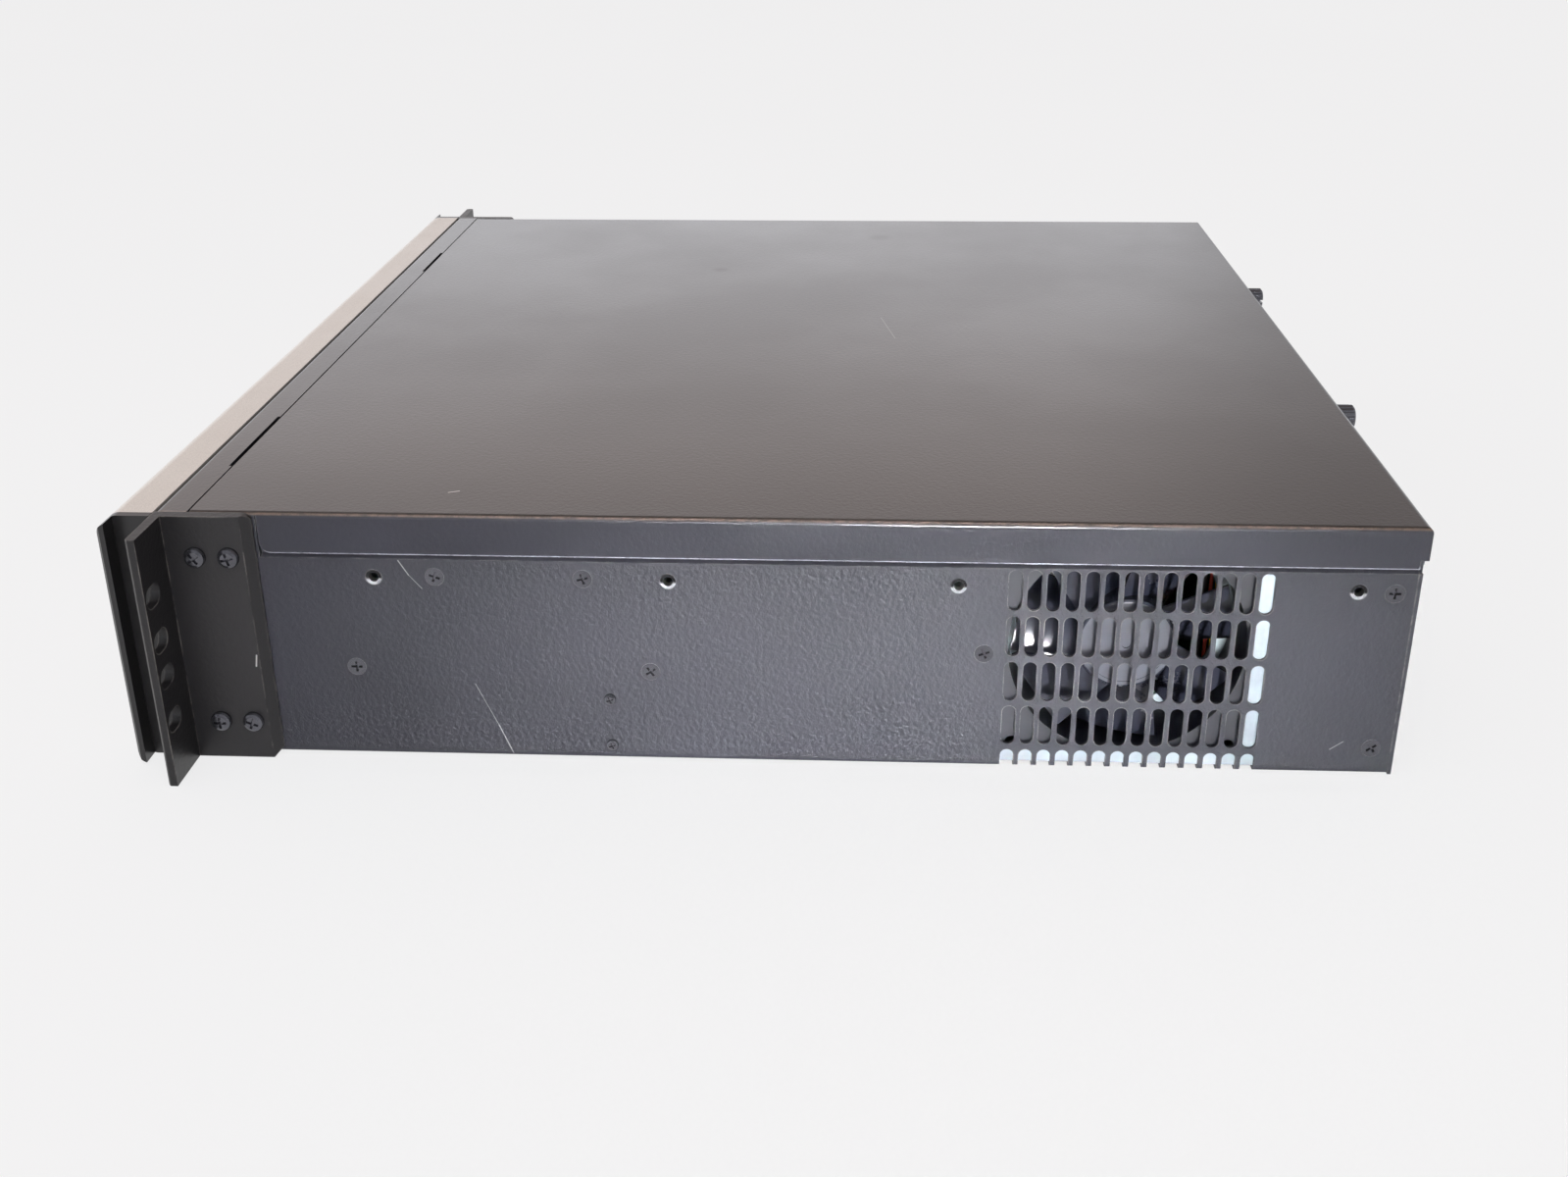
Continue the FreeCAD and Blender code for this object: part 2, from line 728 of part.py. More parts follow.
def tube_along(points, radius, corner):
    """A round cable on straight runs joined by arcs of one radius."""
    route = [V(*p) for p in points]
    edges = []
    last = route[0]
    for before, here, after in zip(route, route[1:], route[2:]):
        back = (before - here).normalize()
        ahead = (after - here).normalize()
        turn = math.pi - back.getAngle(ahead)
        cut = corner * math.tan(turn / 2)
        start = here + back * cut
        end = here + ahead * cut
        inward = (back + ahead).normalize()
        middle = here + inward * (corner / math.cos(turn / 2) - corner)
        edges.append(Part.LineSegment(last, start).toShape())
        edges.append(Part.Arc(start, middle, end).toShape())
        last = end
    edges.append(Part.LineSegment(last, route[-1]).toShape())
    path = Part.Wire(edges)
    ring = Part.Wire(Part.makeCircle(radius, route[0], (route[1] - route[0]).normalize()))
    return path.makePipeShell([ring], True, False)


# ---- fans ----------------------------------------------------------------------------------
def fan_frame(size, depth):
    """Square fan housing round the Z axis, intake face at z = 0, motor plate at the far side."""
    h = size / 2
    bore = h - fan_wall
    square = block(-h, h, -h, h, -depth, 0)
    waist = block(-h - over, h + over, -h - over, h + over, -depth + fan_flange, -fan_flange)
    waist = waist.cut(rod((0, 0, -depth), (0, 0, 1), h + fan_wall, depth))
    duct = rod((0, 0, -depth - over), (0, 0, 1), bore, depth + 2 * over)
    holes = [rod((x, y, -depth - over), (0, 0, 1), fan_corner_hole, depth + 2 * over)
             for x, y in fan_corners(size)]
    housing = without(square, [waist, duct] + holes)
    hub = size * fan_hub_share
    plate = rod((0, 0, -depth), (0, 0, 1), hub, fan_motor_plate)
    arms = []
    for i in range(4):
        arm = block(0, bore + fan_wall / 2, -fan_strut / 2, fan_strut / 2, -depth, -depth + fan_strut)
        arm.rotate(V(0, 0, 0), V(0, 0, 1), 45 + 90 * i)
        arms.append(arm)
    bearing = rod((0, 0, -depth - over), (0, 0, 1), shaft_radius + shaft_clearance,
                  fan_motor_plate + 2 * over)
    return joined([housing, plate] + arms).cut(bearing)


def blade_section(radius, chord, rise):
    """One curved blade section, wrapped square to a radius along +X."""
    half_chord = chord / 2
    half_rise = rise / 2
    sag = blade_sag * chord
    a = V(radius, -half_chord, -half_rise)
    b = V(radius, half_chord, half_rise)
    lift = V(0, 0, blade_thickness)
    bulge = V(radius, -blade_crest * sag, sag)
    upper = Part.Arc(a + lift, bulge + lift, b + lift).toShape()
    lower = Part.Arc(b, bulge, a).toShape()
    nose = Part.LineSegment(b + lift, b).toShape()
    tail = Part.LineSegment(a, a + lift).toShape()
    return Part.Wire([upper, nose, lower, tail])


def fan_rotor(size, depth):
    """Hub, shaft and swept blades round the Z axis, turning inside a matching frame."""
    hub = size * fan_hub_share
    tip = size / 2 - fan_wall - fan_tip_gap
    bottom = -depth + fan_motor_plate + rotor_gap
    tall = -fan_recess - bottom
    cap = rod((0, 0, bottom), (0, 0, 1), hub, tall)
    rim = [e for e in cap.Edges if e.BoundBox.ZMin > -fan_recess - on_face]
    cap = cap.makeFillet(min(hub_edge, tall / 4), rim)
    face = -fan_recess - hub_face_depth
    cap = cap.cut([rod((0, 0, face), (0, 0, 1), hub - hub_rim, hub_face_depth + over),
                   rod((0, 0, face - hub_dimple_depth), (0, 0, 1), hub_dimple, hub_dimple_depth + over)])
    stub = rod((0, 0, -depth + shaft_end), (0, 0, 1), shaft_radius, bottom + depth)
    rise = blade_rise_share * tall
    middle = bottom + tall / 2 - blade_thickness / 2
    root_chord = min(rise / math.tan(math.radians(blade_pitch)), blade_root_share * hub)
    tip_chord = blade_tip_share * root_chord
    root = blade_section(math.sqrt(hub ** 2 - (root_chord / 2) ** 2) - blade_root_sink, root_chord, rise)
    end = blade_section(math.sqrt(tip ** 2 - (tip_chord / 2) ** 2), tip_chord, blade_tip_rise * rise)
    blade = Part.makeLoft([root, end], True, True)
    blade.translate(V(0, 0, middle))
    blades = []
    for i in range(fan_blades):
        copy = blade.copy()
        copy.rotate(V(0, 0, 0), V(0, 0, 1), 360.0 * i / fan_blades)
        blades.append(copy)
    return joined([cap, stub] + blades)


def stood(shape, origin, facing):
    """Moves a shape built round Z so that +Z points along facing at origin."""
    placed = shape.copy()
    move = FreeCAD.Placement(V(*origin), FreeCAD.Rotation(V(0, 0, 1), V(*facing)))
    placed.Placement = move.multiply(shape.Placement)
    return placed


side_fan_place = ((fan_face, side_fan_centre, side_fan_height), (1, 0, 0))
front_fan_places = [((x, front_fan_y, front_fan_height), (0, -1, 0))
                    for x in (-front_fan_pitch / 2, front_fan_pitch / 2)]
power_fan_place = ((supply_fan_x, supply_rear - supply_sheet, supply_middle), (0, 1, 0))
cooler_fan_place = ((cooler_x, cooler_y, cooler_top + cooler_fan_depth), (0, 0, 1))


# ---- case ----------------------------------------------------------------------------------
def base_tray():
    """Floor and both side walls folded from one sheet, with the side vent and every side hole."""
    front = front_face + panel_sheet
    back = rear_face - panel_sheet
    outer = block(-half, half, front, back, 0, wall_top)
    outer = outer.makeFillet(bend, edges_along(outer, (0, 1, 0), lambda m: m.z < sheet))
    inner = block(-wall_face, wall_face, front - over, back + over, sheet, case_height)
    inner = inner.makeFillet(bend - sheet, edges_along(inner, (0, 1, 0), lambda m: m.z < 2 * sheet))
    tray = outer.cut(inner)
    root = wall_top - band_root
    top = lid_underside - seat
    inside = band_face - sheet
    band = [(half, 0, root), (half, 0, wall_top), (band_face, 0, band_bottom), (band_face, 0, top),
            (band_face - tray_flange, 0, top), (band_face - tray_flange, 0, top - sheet),
            (inside, 0, top - sheet), (inside, 0, band_bottom - band_offset),
            (wall_face, 0, wall_top - band_offset), (wall_face, 0, root)]
    band = prism(band, (0, back - flange_start, 0))
    band.translate(V(0, flange_start, 0))
    cheek = block(wall_face, half, front, flange_start - fit_gap, root, top)
    tray = joined([tray, band, cheek, mirrored(band), mirrored(cheek)])
    tray = without(tray, side_vent())
    holes = []
    for side in (1, -1):
        face = side * half
        for y, z in slide_nuts:
            holes.append(rod((face, y, z), (-side, 0, 0), slide_nut_shank, 2 * sheet))
        for y, z in panel_fixings:
            holes.append(flat_seat((face, y, z), (side, 0, 0)))
        for y, z in ear_screw_places():
            holes.append(rod((face, y, z), (-side, 0, 0), screw_radius + screw_gap, 2 * sheet))
    for y, z in cage_fixings + [bracket_fixing]:
        holes.append(flat_seat((half, y, z), (1, 0, 0)))
    for y, z in foot_fixings:
        holes.append(rod((half, y, z), (-1, 0, 0), screw_radius + screw_gap, 2 * sheet))
    return without(tray, holes)


def side_vent():
    """Cutters for the side fan's vent: closed rows and a last row that runs round the bottom edge."""
    cutters = []
    first = vent_centre - vent_pitch * (vent_columns - 1) / 2
    r = vent_slot / 2
    x0 = half - vent_under
    for column in range(vent_columns):
        y = first + vent_pitch * column
        for row in range(vent_rows):
            z = vent_first_row + vent_row_pitch * row
            cutters.append(slot_through_side(y, z - vent_slot_height / 2, z + vent_slot_height / 2))
        cutters.append(joined([block(x0, half + over, y - r, y + r, -over, vent_edge_top - r),
                               rod((x0, y, vent_edge_top - r), (1, 0, 0), r, vent_under + over)]))
    return cutters


def ear_screw_places():
    """Distance behind the mounting plane and height of each ear's four screws."""
    return [(ear_screw_first + ear_screw_pitch * i, z)
            for i in (0, 1) for z in (ear_screw_inset, case_height - ear_screw_inset)]


def front_frame():
    """Front wall of the case with its top strip, fan guards, drive vents and control opening."""
    plate = block(-half, half, front_face, front_face + panel_sheet, 0, case_height)
    strip = block(-half, half, front_face, strip_end, case_height - panel_sheet, case_height)
    frame = joined([plate, strip])
    frame = frame.makeFillet(bend, edges_along(
        frame, (1, 0, 0), lambda m: m.z > case_height - on_face and m.y < front_face + on_face))
    y0 = front_face - over
    y1 = front_face + panel_sheet + over
    cutters = []
    for inset, width in seam_reliefs:
        centre = math.copysign(half - abs(inset), inset)
        cutters.append(block(centre - width / 2, centre + width / 2, strip_end - seam_relief,
                             strip_end + over, case_height - 2 * panel_sheet, case_height + over))
    for (x, _, z), _ in front_fan_places:
        cutters += fan_guard(case_fan, case_guard_rings, (x, y0, z), (0, -1, 0))
        for dx, dz in fan_corners(case_fan):
            cutters.append(rod((x + dx, y0, z + dz), (0, 1, 0), fan_corner_hole, panel_sheet + 2 * over))
    m = control_margin
    cutters.append(block(control_left + m, control_right - m, y0, y1, control_bottom + m, control_top - m))
    for column in range(drive_vent_columns):
        x = drive_x + drive_vent_pitch * (column - (drive_vent_columns - 1) / 2)
        for row in range(drive_vent_rows):
            z = drive_vent_bottom + drive_vent_rise * row
            cutters.append(block(x - drive_vent_width / 2, x + drive_vent_width / 2, y0, y1,
                                 z, z + drive_vent_slot))
    tall = bezel_tab_height / 2 + fit_gap
    for x, z in bezel_tab_places():
        cutters.append(block(x - fit_gap, x + bezel_tab + fit_gap, y0, y1, z - tall, z + tall))
    return without(frame, cutters)


def ring_slot(radius, width, sweep, middle):
    """Part of a ring, cut right through a sheet that lies across Z."""
    deep = panel_sheet + 2 * over
    near = radius - width / 2
    far = radius + width / 2
    corners = [V(near, 0, -deep), V(far, 0, -deep), V(far, 0, 0), V(near, 0, 0)]
    piece = Part.Face(Part.makePolygon(corners + corners[:1])).revolve(V(0, 0, 0), V(0, 0, 1), sweep)
    piece.rotate(V(0, 0, 0), V(0, 0, 1), middle - sweep / 2)
    return piece


def fan_guard(size, rings, start, facing):
    """Cutters for the punched guard over a fan: rings of slots round a plain centre."""
    pitch = (guard_outer_share - guard_inner_share) * size / rings
    cutters = []
    for ring in range(rings):
        radius = guard_inner_share * size + pitch * (ring + 0.5)
        for sector in range(guard_sectors):
            middle = 360.0 / guard_sectors * (sector + 0.5)
            arc = ring_slot(radius, guard_slot_share * pitch, guard_sweep, middle)
            cutters.append(stood(arc, start, facing))
    return cutters


def rear_panel():
    """Back wall: shield, expansion and power supply openings, top ledge and side flanges."""
    y0 = rear_face - panel_sheet
    top = lid_underside - seat
    plate = joined([block(-half, half, y0, rear_face, 0, wall_top),
                    block(-band_face, band_face, y0, rear_face, 0, top)])
    ledge_half = band_face - tray_flange - fit_gap
    ledge = block(-ledge_half, ledge_half, y0 - panel_ledge, rear_face, top - panel_sheet, top)
    flange = block(wall_face - panel_sheet, wall_face, y0 - panel_flange, rear_face,
                   panel_flange_rise, wall_top - panel_flange_rise)
    panel = joined([plate, ledge, flange, mirrored(flange)])
    panel = panel.makeFillet(panel_sheet, edges_along(
        panel, (1, 0, 0), lambda m: m.z > top - on_face and m.y > rear_face - on_face))
    before = y0 - over
    after = rear_face + over
    deep = after - before
    cutters = [block(io_x0 + io_frame, io_x1 - io_frame, before, after, io_z0 + io_frame, io_z1 - io_frame)]
    for x in slot_centres:
        cutters.append(block(x - slot_opening_width / 2, x + slot_opening_width / 2, before, after,
                             slot_base + slot_opening_low, slot_cover_top - slot_opening_top))
    for side_rim, end_rim in ((supply_edge, supply_ear), (supply_ear, supply_edge)):
        cutters.append(block(supply_left + side_rim, supply_right - side_rim, before, after,
                             supply_bottom + end_rim, supply_top - end_rim))
    for x in (-thumbscrew_spacing / 2, thumbscrew_spacing / 2):
        cutters.append(rod((x, before, thumbscrew_z), (0, 1, 0), thumbscrew_shank + fit_gap, deep))
    for side in (1, -1):
        for y, z in panel_fixings:
            cutters.append(rod((side * half, y, z), (-side, 0, 0), screw_radius + screw_gap,
                               4 * panel_sheet))
    for x, z in supply_fixings():
        cutters.append(rod((x, before, z), (0, 1, 0), screw_radius + screw_gap, deep))
    return without(panel, cutters)


def supply_fixings():
    """Across and height of the supply's four rear screws."""
    inset = supply_fixing_inset
    return [(x, z) for x in (supply_left + inset, supply_right - inset)
            for z in (supply_bottom + inset, supply_top - inset)]


def top_cover():
    """Flat lid with folded side flanges and a rear flange for the thumbscrews."""
    low = case_height - cover_side
    lid = block(-half, half, cover_start, cover_end, low, case_height)
    corners = edges_along(lid, (0, 1, 0), lambda m: m.z > case_height - on_face)
    back = edges_along(lid, (1, 0, 0), lambda m: m.z > case_height - on_face and m.y > cover_start + on_face)
    lid = lid.makeFillet(bend, corners + back)
    room = block(-half + sheet, half - sheet, cover_start - over, cover_end - sheet,
                 low - over, case_height - sheet)
    room = room.makeFillet(bend - sheet, edges_along(room, (0, 1, 0), lambda m: m.z > low) + edges_along(
        room, (1, 0, 0), lambda m: m.z > low and m.y > cover_start))
    ear_room = block(-half - over, half + over, cover_start - over, flange_start, low - over, lid_underside)
    lid = lid.cut(room).cut(ear_room)
    corner = block(wall_face - over, half + over, flange_start - over, flange_start + cover_corner,
                   low - over, low + cover_corner)
    round_off = rod((wall_face - 2 * over, flange_start + cover_corner, low + cover_corner), (1, 0, 0),
                    cover_corner, sheet + 4 * over)
    corner = corner.cut(round_off)
    notch = block(-half - over, half + over, cover_end - sheet - cover_notch_depth, cover_end + over,
                  low - over, low + cover_notch_height)
    kept = half - cover_notch_reach
    notch = notch.cut(block(-kept, kept, cover_start, cover_end + 2 * over, low - 2 * over,
                            low + cover_notch_height + over))
    holes = [rod((x, cover_end - sheet - over, thumbscrew_z), (0, 1, 0), thumbscrew_shank + fit_gap,
                 sheet + 2 * over) for x in (-thumbscrew_spacing / 2, thumbscrew_spacing / 2)]
    return without(lid, [corner, mirrored(corner), notch] + holes)


def thumbscrew(x, turn):
    """Grooved knob with a slotted face on a captive shank."""
    r = thumbscrew_radius
    neck = thumbscrew_neck_length
    profile = [(0, -thumbscrew_grip), (thumbscrew_shank - thumbscrew_point, -thumbscrew_grip),
               (thumbscrew_shank, thumbscrew_point - thumbscrew_grip), (thumbscrew_shank, 0),
               (thumbscrew_neck, 0), (thumbscrew_neck, neck), (r, neck + thumbscrew_groove),
               (r, thumbscrew_length - thumbscrew_chamfer), (r - thumbscrew_chamfer, thumbscrew_length),
               (0, thumbscrew_length)]
    place = ((x, cover_end, thumbscrew_z), (0, 1, 0))
    knob = turned(profile, *place)
    cutters = [block(-r - over, r + over, -thumbscrew_slot / 2, thumbscrew_slot / 2,
                     thumbscrew_length - thumbscrew_slot_depth, thumbscrew_length + over)]
    for i in range(thumbscrew_grooves):
        groove = rod((r + thumbscrew_groove / 2, 0, neck), (0, 0, 1), thumbscrew_groove, thumbscrew_length)
        groove.rotate(V(0, 0, 0), V(0, 0, 1), 360.0 * (i + 0.5) / thumbscrew_grooves)
        cutters.append(groove)
    marks = Part.makeCompound(cutters)
    marks.rotate(V(0, 0, 0), V(0, 0, 1), turn)
    return knob.cut(stood(marks, *place))


def rack_ear():
    """Right-hand angle bracket: a leg on the case's side and a flange with four rack slots."""
    tip = half + ear_reach
    chamfer = ear_tip_chamfer
    end = ear_leg_length
    outline = [(half, front_face, 0), (tip - chamfer, front_face, 0), (tip, front_face + chamfer, 0),
               (tip, 0, 0), (ear_face, 0, 0), (ear_face, end - ear_bevel, 0),
               (ear_face - ear_bevel_share * ear_leg, end, 0), (half, end, 0)]
    ear = prism(outline, (0, 0, case_height))
    cutters = []
    reach = (ear_slot_length - ear_slot_height) / 2
    r = ear_slot_height / 2
    x = half + ear_hole_reach
    y0 = front_face - over
    deep = ear_flange + 2 * over
    for z in ear_hole_heights():
        cutters.append(joined([block(x - reach, x + reach, y0, y0 + deep, z - r, z + r),
                               rod((x - reach, y0, z), (0, 1, 0), r, deep),
                               rod((x + reach, y0, z), (0, 1, 0), r, deep)]))
    for y, z in ear_screw_places():
        cutters.append(rod((half - over, y, z), (1, 0, 0), screw_radius + screw_gap, ear_leg + 2 * over))
    clip = ear_clip
    foot = [(end - clip, 0), (end, -over), (end + over, -over), (end + over, clip), (end, clip)]
    cutters.append(prism([(half - over, y, z) for y, z in foot], (ear_leg + 2 * over, 0, 0)))
    corner = block(half - over, ear_face + over, end - clip, end + over,
                   case_height - clip, case_height + over)
    corner = corner.cut(rod((half - 2 * over, end - clip, case_height - clip), (1, 0, 0), clip,
                            ear_leg + 4 * over))
    return without(ear, cutters + [corner])


def ear_hole_heights():
    """Heights of an ear's four slots: a rack unit apart outside, half an inch inside."""
    middle = case_height / 2
    return [middle - rack_unit / 2, middle - ear_hole_inner_pitch / 2,
            middle + ear_hole_inner_pitch / 2, middle + rack_unit / 2]


def bezel():
    """Silver front shell: nosed long edges, an intake of louvres and openings for the controls."""
    wall = bezel_wall
    shell = block(-bezel_half, bezel_half, bezel_front, bezel_back, bezel_bottom, case_height)
    nose = edges_along(shell, (1, 0, 0), lambda m: m.y < bezel_front + on_face)
    shell = shell.makeFillet(bezel_nose, nose)
    room = block(-bezel_half + bezel_end, bezel_half - bezel_end, bezel_front + wall, bezel_back + over,
                 bezel_bottom + wall, case_height - wall)
    room = room.makeFillet(bezel_nose - wall, edges_along(
        room, (1, 0, 0), lambda m: m.y < bezel_front + wall + on_face))
    shell = shell.cut(room)
    tabs = [block(x, x + bezel_tab, bezel_back - over, bezel_back + bezel_tab_reach,
                  z - bezel_tab_height / 2, z + bezel_tab_height / 2) for x, z in bezel_tab_places()]
    shell = joined([shell] + tabs)
    cutters = []
    span = (intake_width - intake_rib * (intake_columns - 1)) / intake_columns
    drive_span = drive_width - 2 * drive_louvre_inset
    for row in range(intake_rows):
        z = case_height / 2 + intake_pitch * (row - (intake_rows - 1) / 2)
        for column in range(intake_columns):
            x = -intake_width / 2 + (span + intake_rib) * column
            cutters.append(louvre(x, x + span, z))
        cutters.append(louvre(drive_x - drive_span / 2, drive_x + drive_span / 2, z))
    y0 = bezel_front - over
    deep = wall + 2 * over
    for x, r in ((control_x, power_button_radius), (control_x + button_pitch, reset_button_radius)):
        cutters.append(rod((x, y0, control_z), (0, 1, 0), r + button_gap, deep))
    for x, z in lamp_places():
        cutters.append(rod((x, y0, z), (0, 1, 0), lamp_radius + lamp_gap, deep))
    w = usb_width / 2 + fit_gap
    h = usb_height / 2 + fit_gap
    for x in usb_places():
        cutters.append(block(x - w, x + w, y0, y0 + deep, usb_z - h, usb_z + h))
    return without(shell, cutters)


def bezel_tab_places():
    """Low X edge and middle height of each locating tab."""
    x = half - bezel_tab_inset - bezel_tab
    return [(low, case_height / 2 + side * bezel_tab_spread / 2)
            for low in (x, -x - bezel_tab) for side in (-1, 1)]


def louvre(x0, x1, z):
    """One sloping air slot through the bezel's front wall."""
    low = z - intake_slot / 2
    high = z + intake_slot / 2
    front = bezel_front - over / 2
    back = bezel_front + bezel_wall + over / 2
    return prism([(x0, front, low - intake_drop), (x0, back, low), (x0, back, high),
                  (x0, front, high - intake_drop)], (x1 - x0, 0, 0))


def lamp_places():
    """Across and height of the lamps, right of the reset button."""
    first = control_x + button_pitch + lamp_first
    return [(first + lamp_pitch * i, control_z) for i in range(lamp_count)]


def usb_places():
    """Middles of the two front sockets."""
    return [control_x - usb_pitch / 2, control_x + usb_pitch / 2]


def bezel_cap():
    """Right-hand end cap: a side plate level with the ear's leg and a lip round the front."""
    lip_end = ear_face + lip_reach
    outline = [(bezel_half, bezel_back, 0), (bezel_half, bezel_front, 0),
               (lip_end - lip_radius, bezel_front, 0), (lip_end, bezel_front + lip_radius, 0),
               (lip_end, bezel_front + lip_thickness, 0),
               (ear_face, bezel_front + lip_thickness, 0), (ear_face, bezel_back, 0)]
    cap = prism([(x, y, lip_bottom) for x, y, _ in outline], (0, 0, case_height - lip_bottom))
    nosed = block(bezel_half - over, lip_end + over, bezel_front, bezel_back + over, lip_bottom, case_height)
    nose = edges_along(nosed, (1, 0, 0), lambda m: m.y < bezel_front + on_face)
    nosed = nosed.makeFillet(bezel_nose, nose)
    return cap.common(nosed)


# ---- fasteners -----------------------------------------------------------------------------
def ear_screws():
    """Four pan-head screws through each ear's leg."""
    screws = []
    for i, (y, z) in enumerate(ear_screw_places()):
        screw = pan_screw((ear_face, y, z), (1, 0, 0), ear_leg + sheet, turn=screw_turn * i)
        screws += [screw, mirrored(screw)]
    return group(screws)


def side_screws():
    """Flat-head screws of the drive cage, fan bracket and rear panel."""
    screws = [flat_screw((half, *bracket_fixing), (1, 0, 0), long_side_screw)]
    for i, (y, z) in enumerate(cage_fixings):
        screws.append(flat_screw((half, y, z), (1, 0, 0), short_side_screw, turn=screw_turn * i))
    for i, (y, z) in enumerate(panel_fixings):
        screw = flat_screw((half, y, z), (1, 0, 0), short_side_screw, turn=screw_turn * i)
        screws += [screw, mirrored(screw)]
    return group(screws)


def foot_screws():
    """Two small pan-head screws low on the right side."""
    return group([pan_screw((half, y, z), (1, 0, 0), short_side_screw, small_head_radius)
                  for y, z in foot_fixings])


def slide_nut_set():
    """Clinch nuts for the rack slides: a shank in the wall and a wider body behind it."""
    nuts = []
    for y, z in slide_nuts:
        nut = joined([rod((wall_face, y, z), (-1, 0, 0), slide_nut_radius, slide_nut_length),
                      rod((half, y, z), (-1, 0, 0), slide_nut_shank, sheet + slide_nut_sink)])
        nut = nut.cut(rod((half + over, y, z), (-1, 0, 0), slide_thread_radius,
                          slide_nut_length + sheet + 2 * over))
        nuts += [nut, mirrored(nut)]
    return group(nuts)


# ---- side fan ------------------------------------------------------------------------------
def fan_bracket():
    """Zinc-plated hat section round the side fan, with a shelf under it and a lip along the wall."""
    t = bracket_sheet
    inner = fan_face - case_fan_depth
    low = side_fan_height - case_fan / 2 - seat - t
    high = side_fan_height + case_fan / 2 - bracket_top_short
    y0 = bracket_front_web
    y1 = bracket_rear_web
    plan = [(wall_face, bracket_front), (wall_face, y0), (inner, y0), (inner, y1),
            (wall_face, y1), (wall_face, bracket_rear), (wall_face - t, bracket_rear),
            (wall_face - t, y1 + t), (inner - t, y1 + t), (inner - t, y0 - t), (wall_face - t, y0 - t),
            (wall_face - t, bracket_front)]
    hat = prism([(x, y, low) for x, y in plan], (0, 0, high - low))
    shelf = block(inner - t, wall_face, y0 - t, y1 + t, low, low + t)
    strip = [(wall_face - t, bracket_lip_start), (wall_face - t / 2, bracket_lip_start),
             (wall_face, bracket_lip_start + t / 2), (wall_face, bracket_lip), (wall_face - t, bracket_lip)]
    lip = prism([(x, bracket_front, z) for x, z in strip], (0, bracket_rear - bracket_front, 0))
    hat = joined([hat, shelf, lip])
    air = rod((inner - t - over, side_fan_centre, side_fan_height), (1, 0, 0), bracket_opening, t + 2 * over)
    hole = rod((wall_face - t - over, *bracket_fixing), (1, 0, 0), screw_radius + screw_gap, t + 2 * over)
    step = block(fan_face, wall_face + over, bracket_front - over, bracket_rear + over,
                 wall_top - band_root - seat, case_height)
    return without(hat, [air, hole, step])


def side_fan_frame():
    return stood(fan_frame(case_fan, case_fan_depth), *side_fan_place)


def side_fan_rotor():
    return stood(fan_rotor(case_fan, case_fan_depth), *side_fan_place)


def front_fan_frames():
    return group([stood(fan_frame(case_fan, case_fan_depth), *place) for place in front_fan_places])


def front_fan_rotor(index):
    return stood(fan_rotor(case_fan, case_fan_depth), *front_fan_places[index])


def fan_corners(size):
    p = size / 2 - fan_hole_inset
    return [(sx * p, sz * p) for sx in (-1, 1) for sz in (-1, 1)]


def fan_screws():
    """Self-tapping screws through the front frame into the corners of both front fans."""
    r = fan_corner_hole - screw_gap / 2
    screws = []
    for (x, _, z), _ in front_fan_places:
        for dx, dz in fan_corners(case_fan):
            profile = [(0, -fan_screw_length), (r, -fan_screw_length), (r, 0), (pan_head_radius, 0),
                       (0.8 * pan_head_radius, fan_screw_head), (0, fan_screw_head)]
            screws.append(turned(profile, (x + dx, front_face, z + dz), (0, -1, 0)))
    return group(screws)


# ---- drive cage ----------------------------------------------------------------------------
def drive_cage():
    """Open-ended cage on the floor and right wall for two 3.5-inch drives."""
    outer = block(cage_left, cage_right, cage_start, cage_end, cage_bottom, cage_top)
    inner = block(cage_left + cage_sheet, cage_right - cage_sheet, cage_start - over, cage_end + over,
                  cage_bottom + cage_sheet, cage_top - cage_sheet)
    outer = outer.makeFillet(bend - sheet + seat, edges_along(
        outer, (0, 1, 0), lambda m: m.z < cage_bottom + on_face and m.x > drive_x))
    cage = outer.cut(inner)
    cutters = []
    x0 = cage_right - cage_sheet - over
    deep = cage_sheet + 2 * over
    for y, z in slide_nuts:
        if cage_start < y < cage_end + slide_nut_radius:
            cutters.append(rod((x0, y, z), (1, 0, 0), slide_nut_radius + 2 * fit_gap, deep))
    for y, z in cage_fixings + foot_fixings:
        cutters.append(rod((x0, y, z), (1, 0, 0), screw_radius + screw_gap, deep))
    run = (cage_length - cage_slot_inset * (cage_slot_columns + 1)) / cage_slot_columns
    bay = cage_height / 2
    across = (cage_left + cage_slot_inset, drive_x - cage_slot / 2,
              cage_right - cage_slot_inset - cage_slot)
    side = (cage_left - over, cage_left + cage_sheet + over)
    top = (cage_top - cage_sheet - over, cage_top + over)
    for column in range(cage_slot_columns):
        y = cage_start + cage_slot_inset + (run + cage_slot_inset) * column
        for floor in (cage_bottom, cage_bottom + bay):
            for row in range(cage_slot_rows):
                z = floor + cage_slot_rise + cage_slot_pitch * row
                cutters.append(block(*side, y, y + run, z, z + cage_slot))
        for x in across:
            cutters.append(block(x, x + cage_slot, y, y + run, *top))
    return without(cage, cutters)


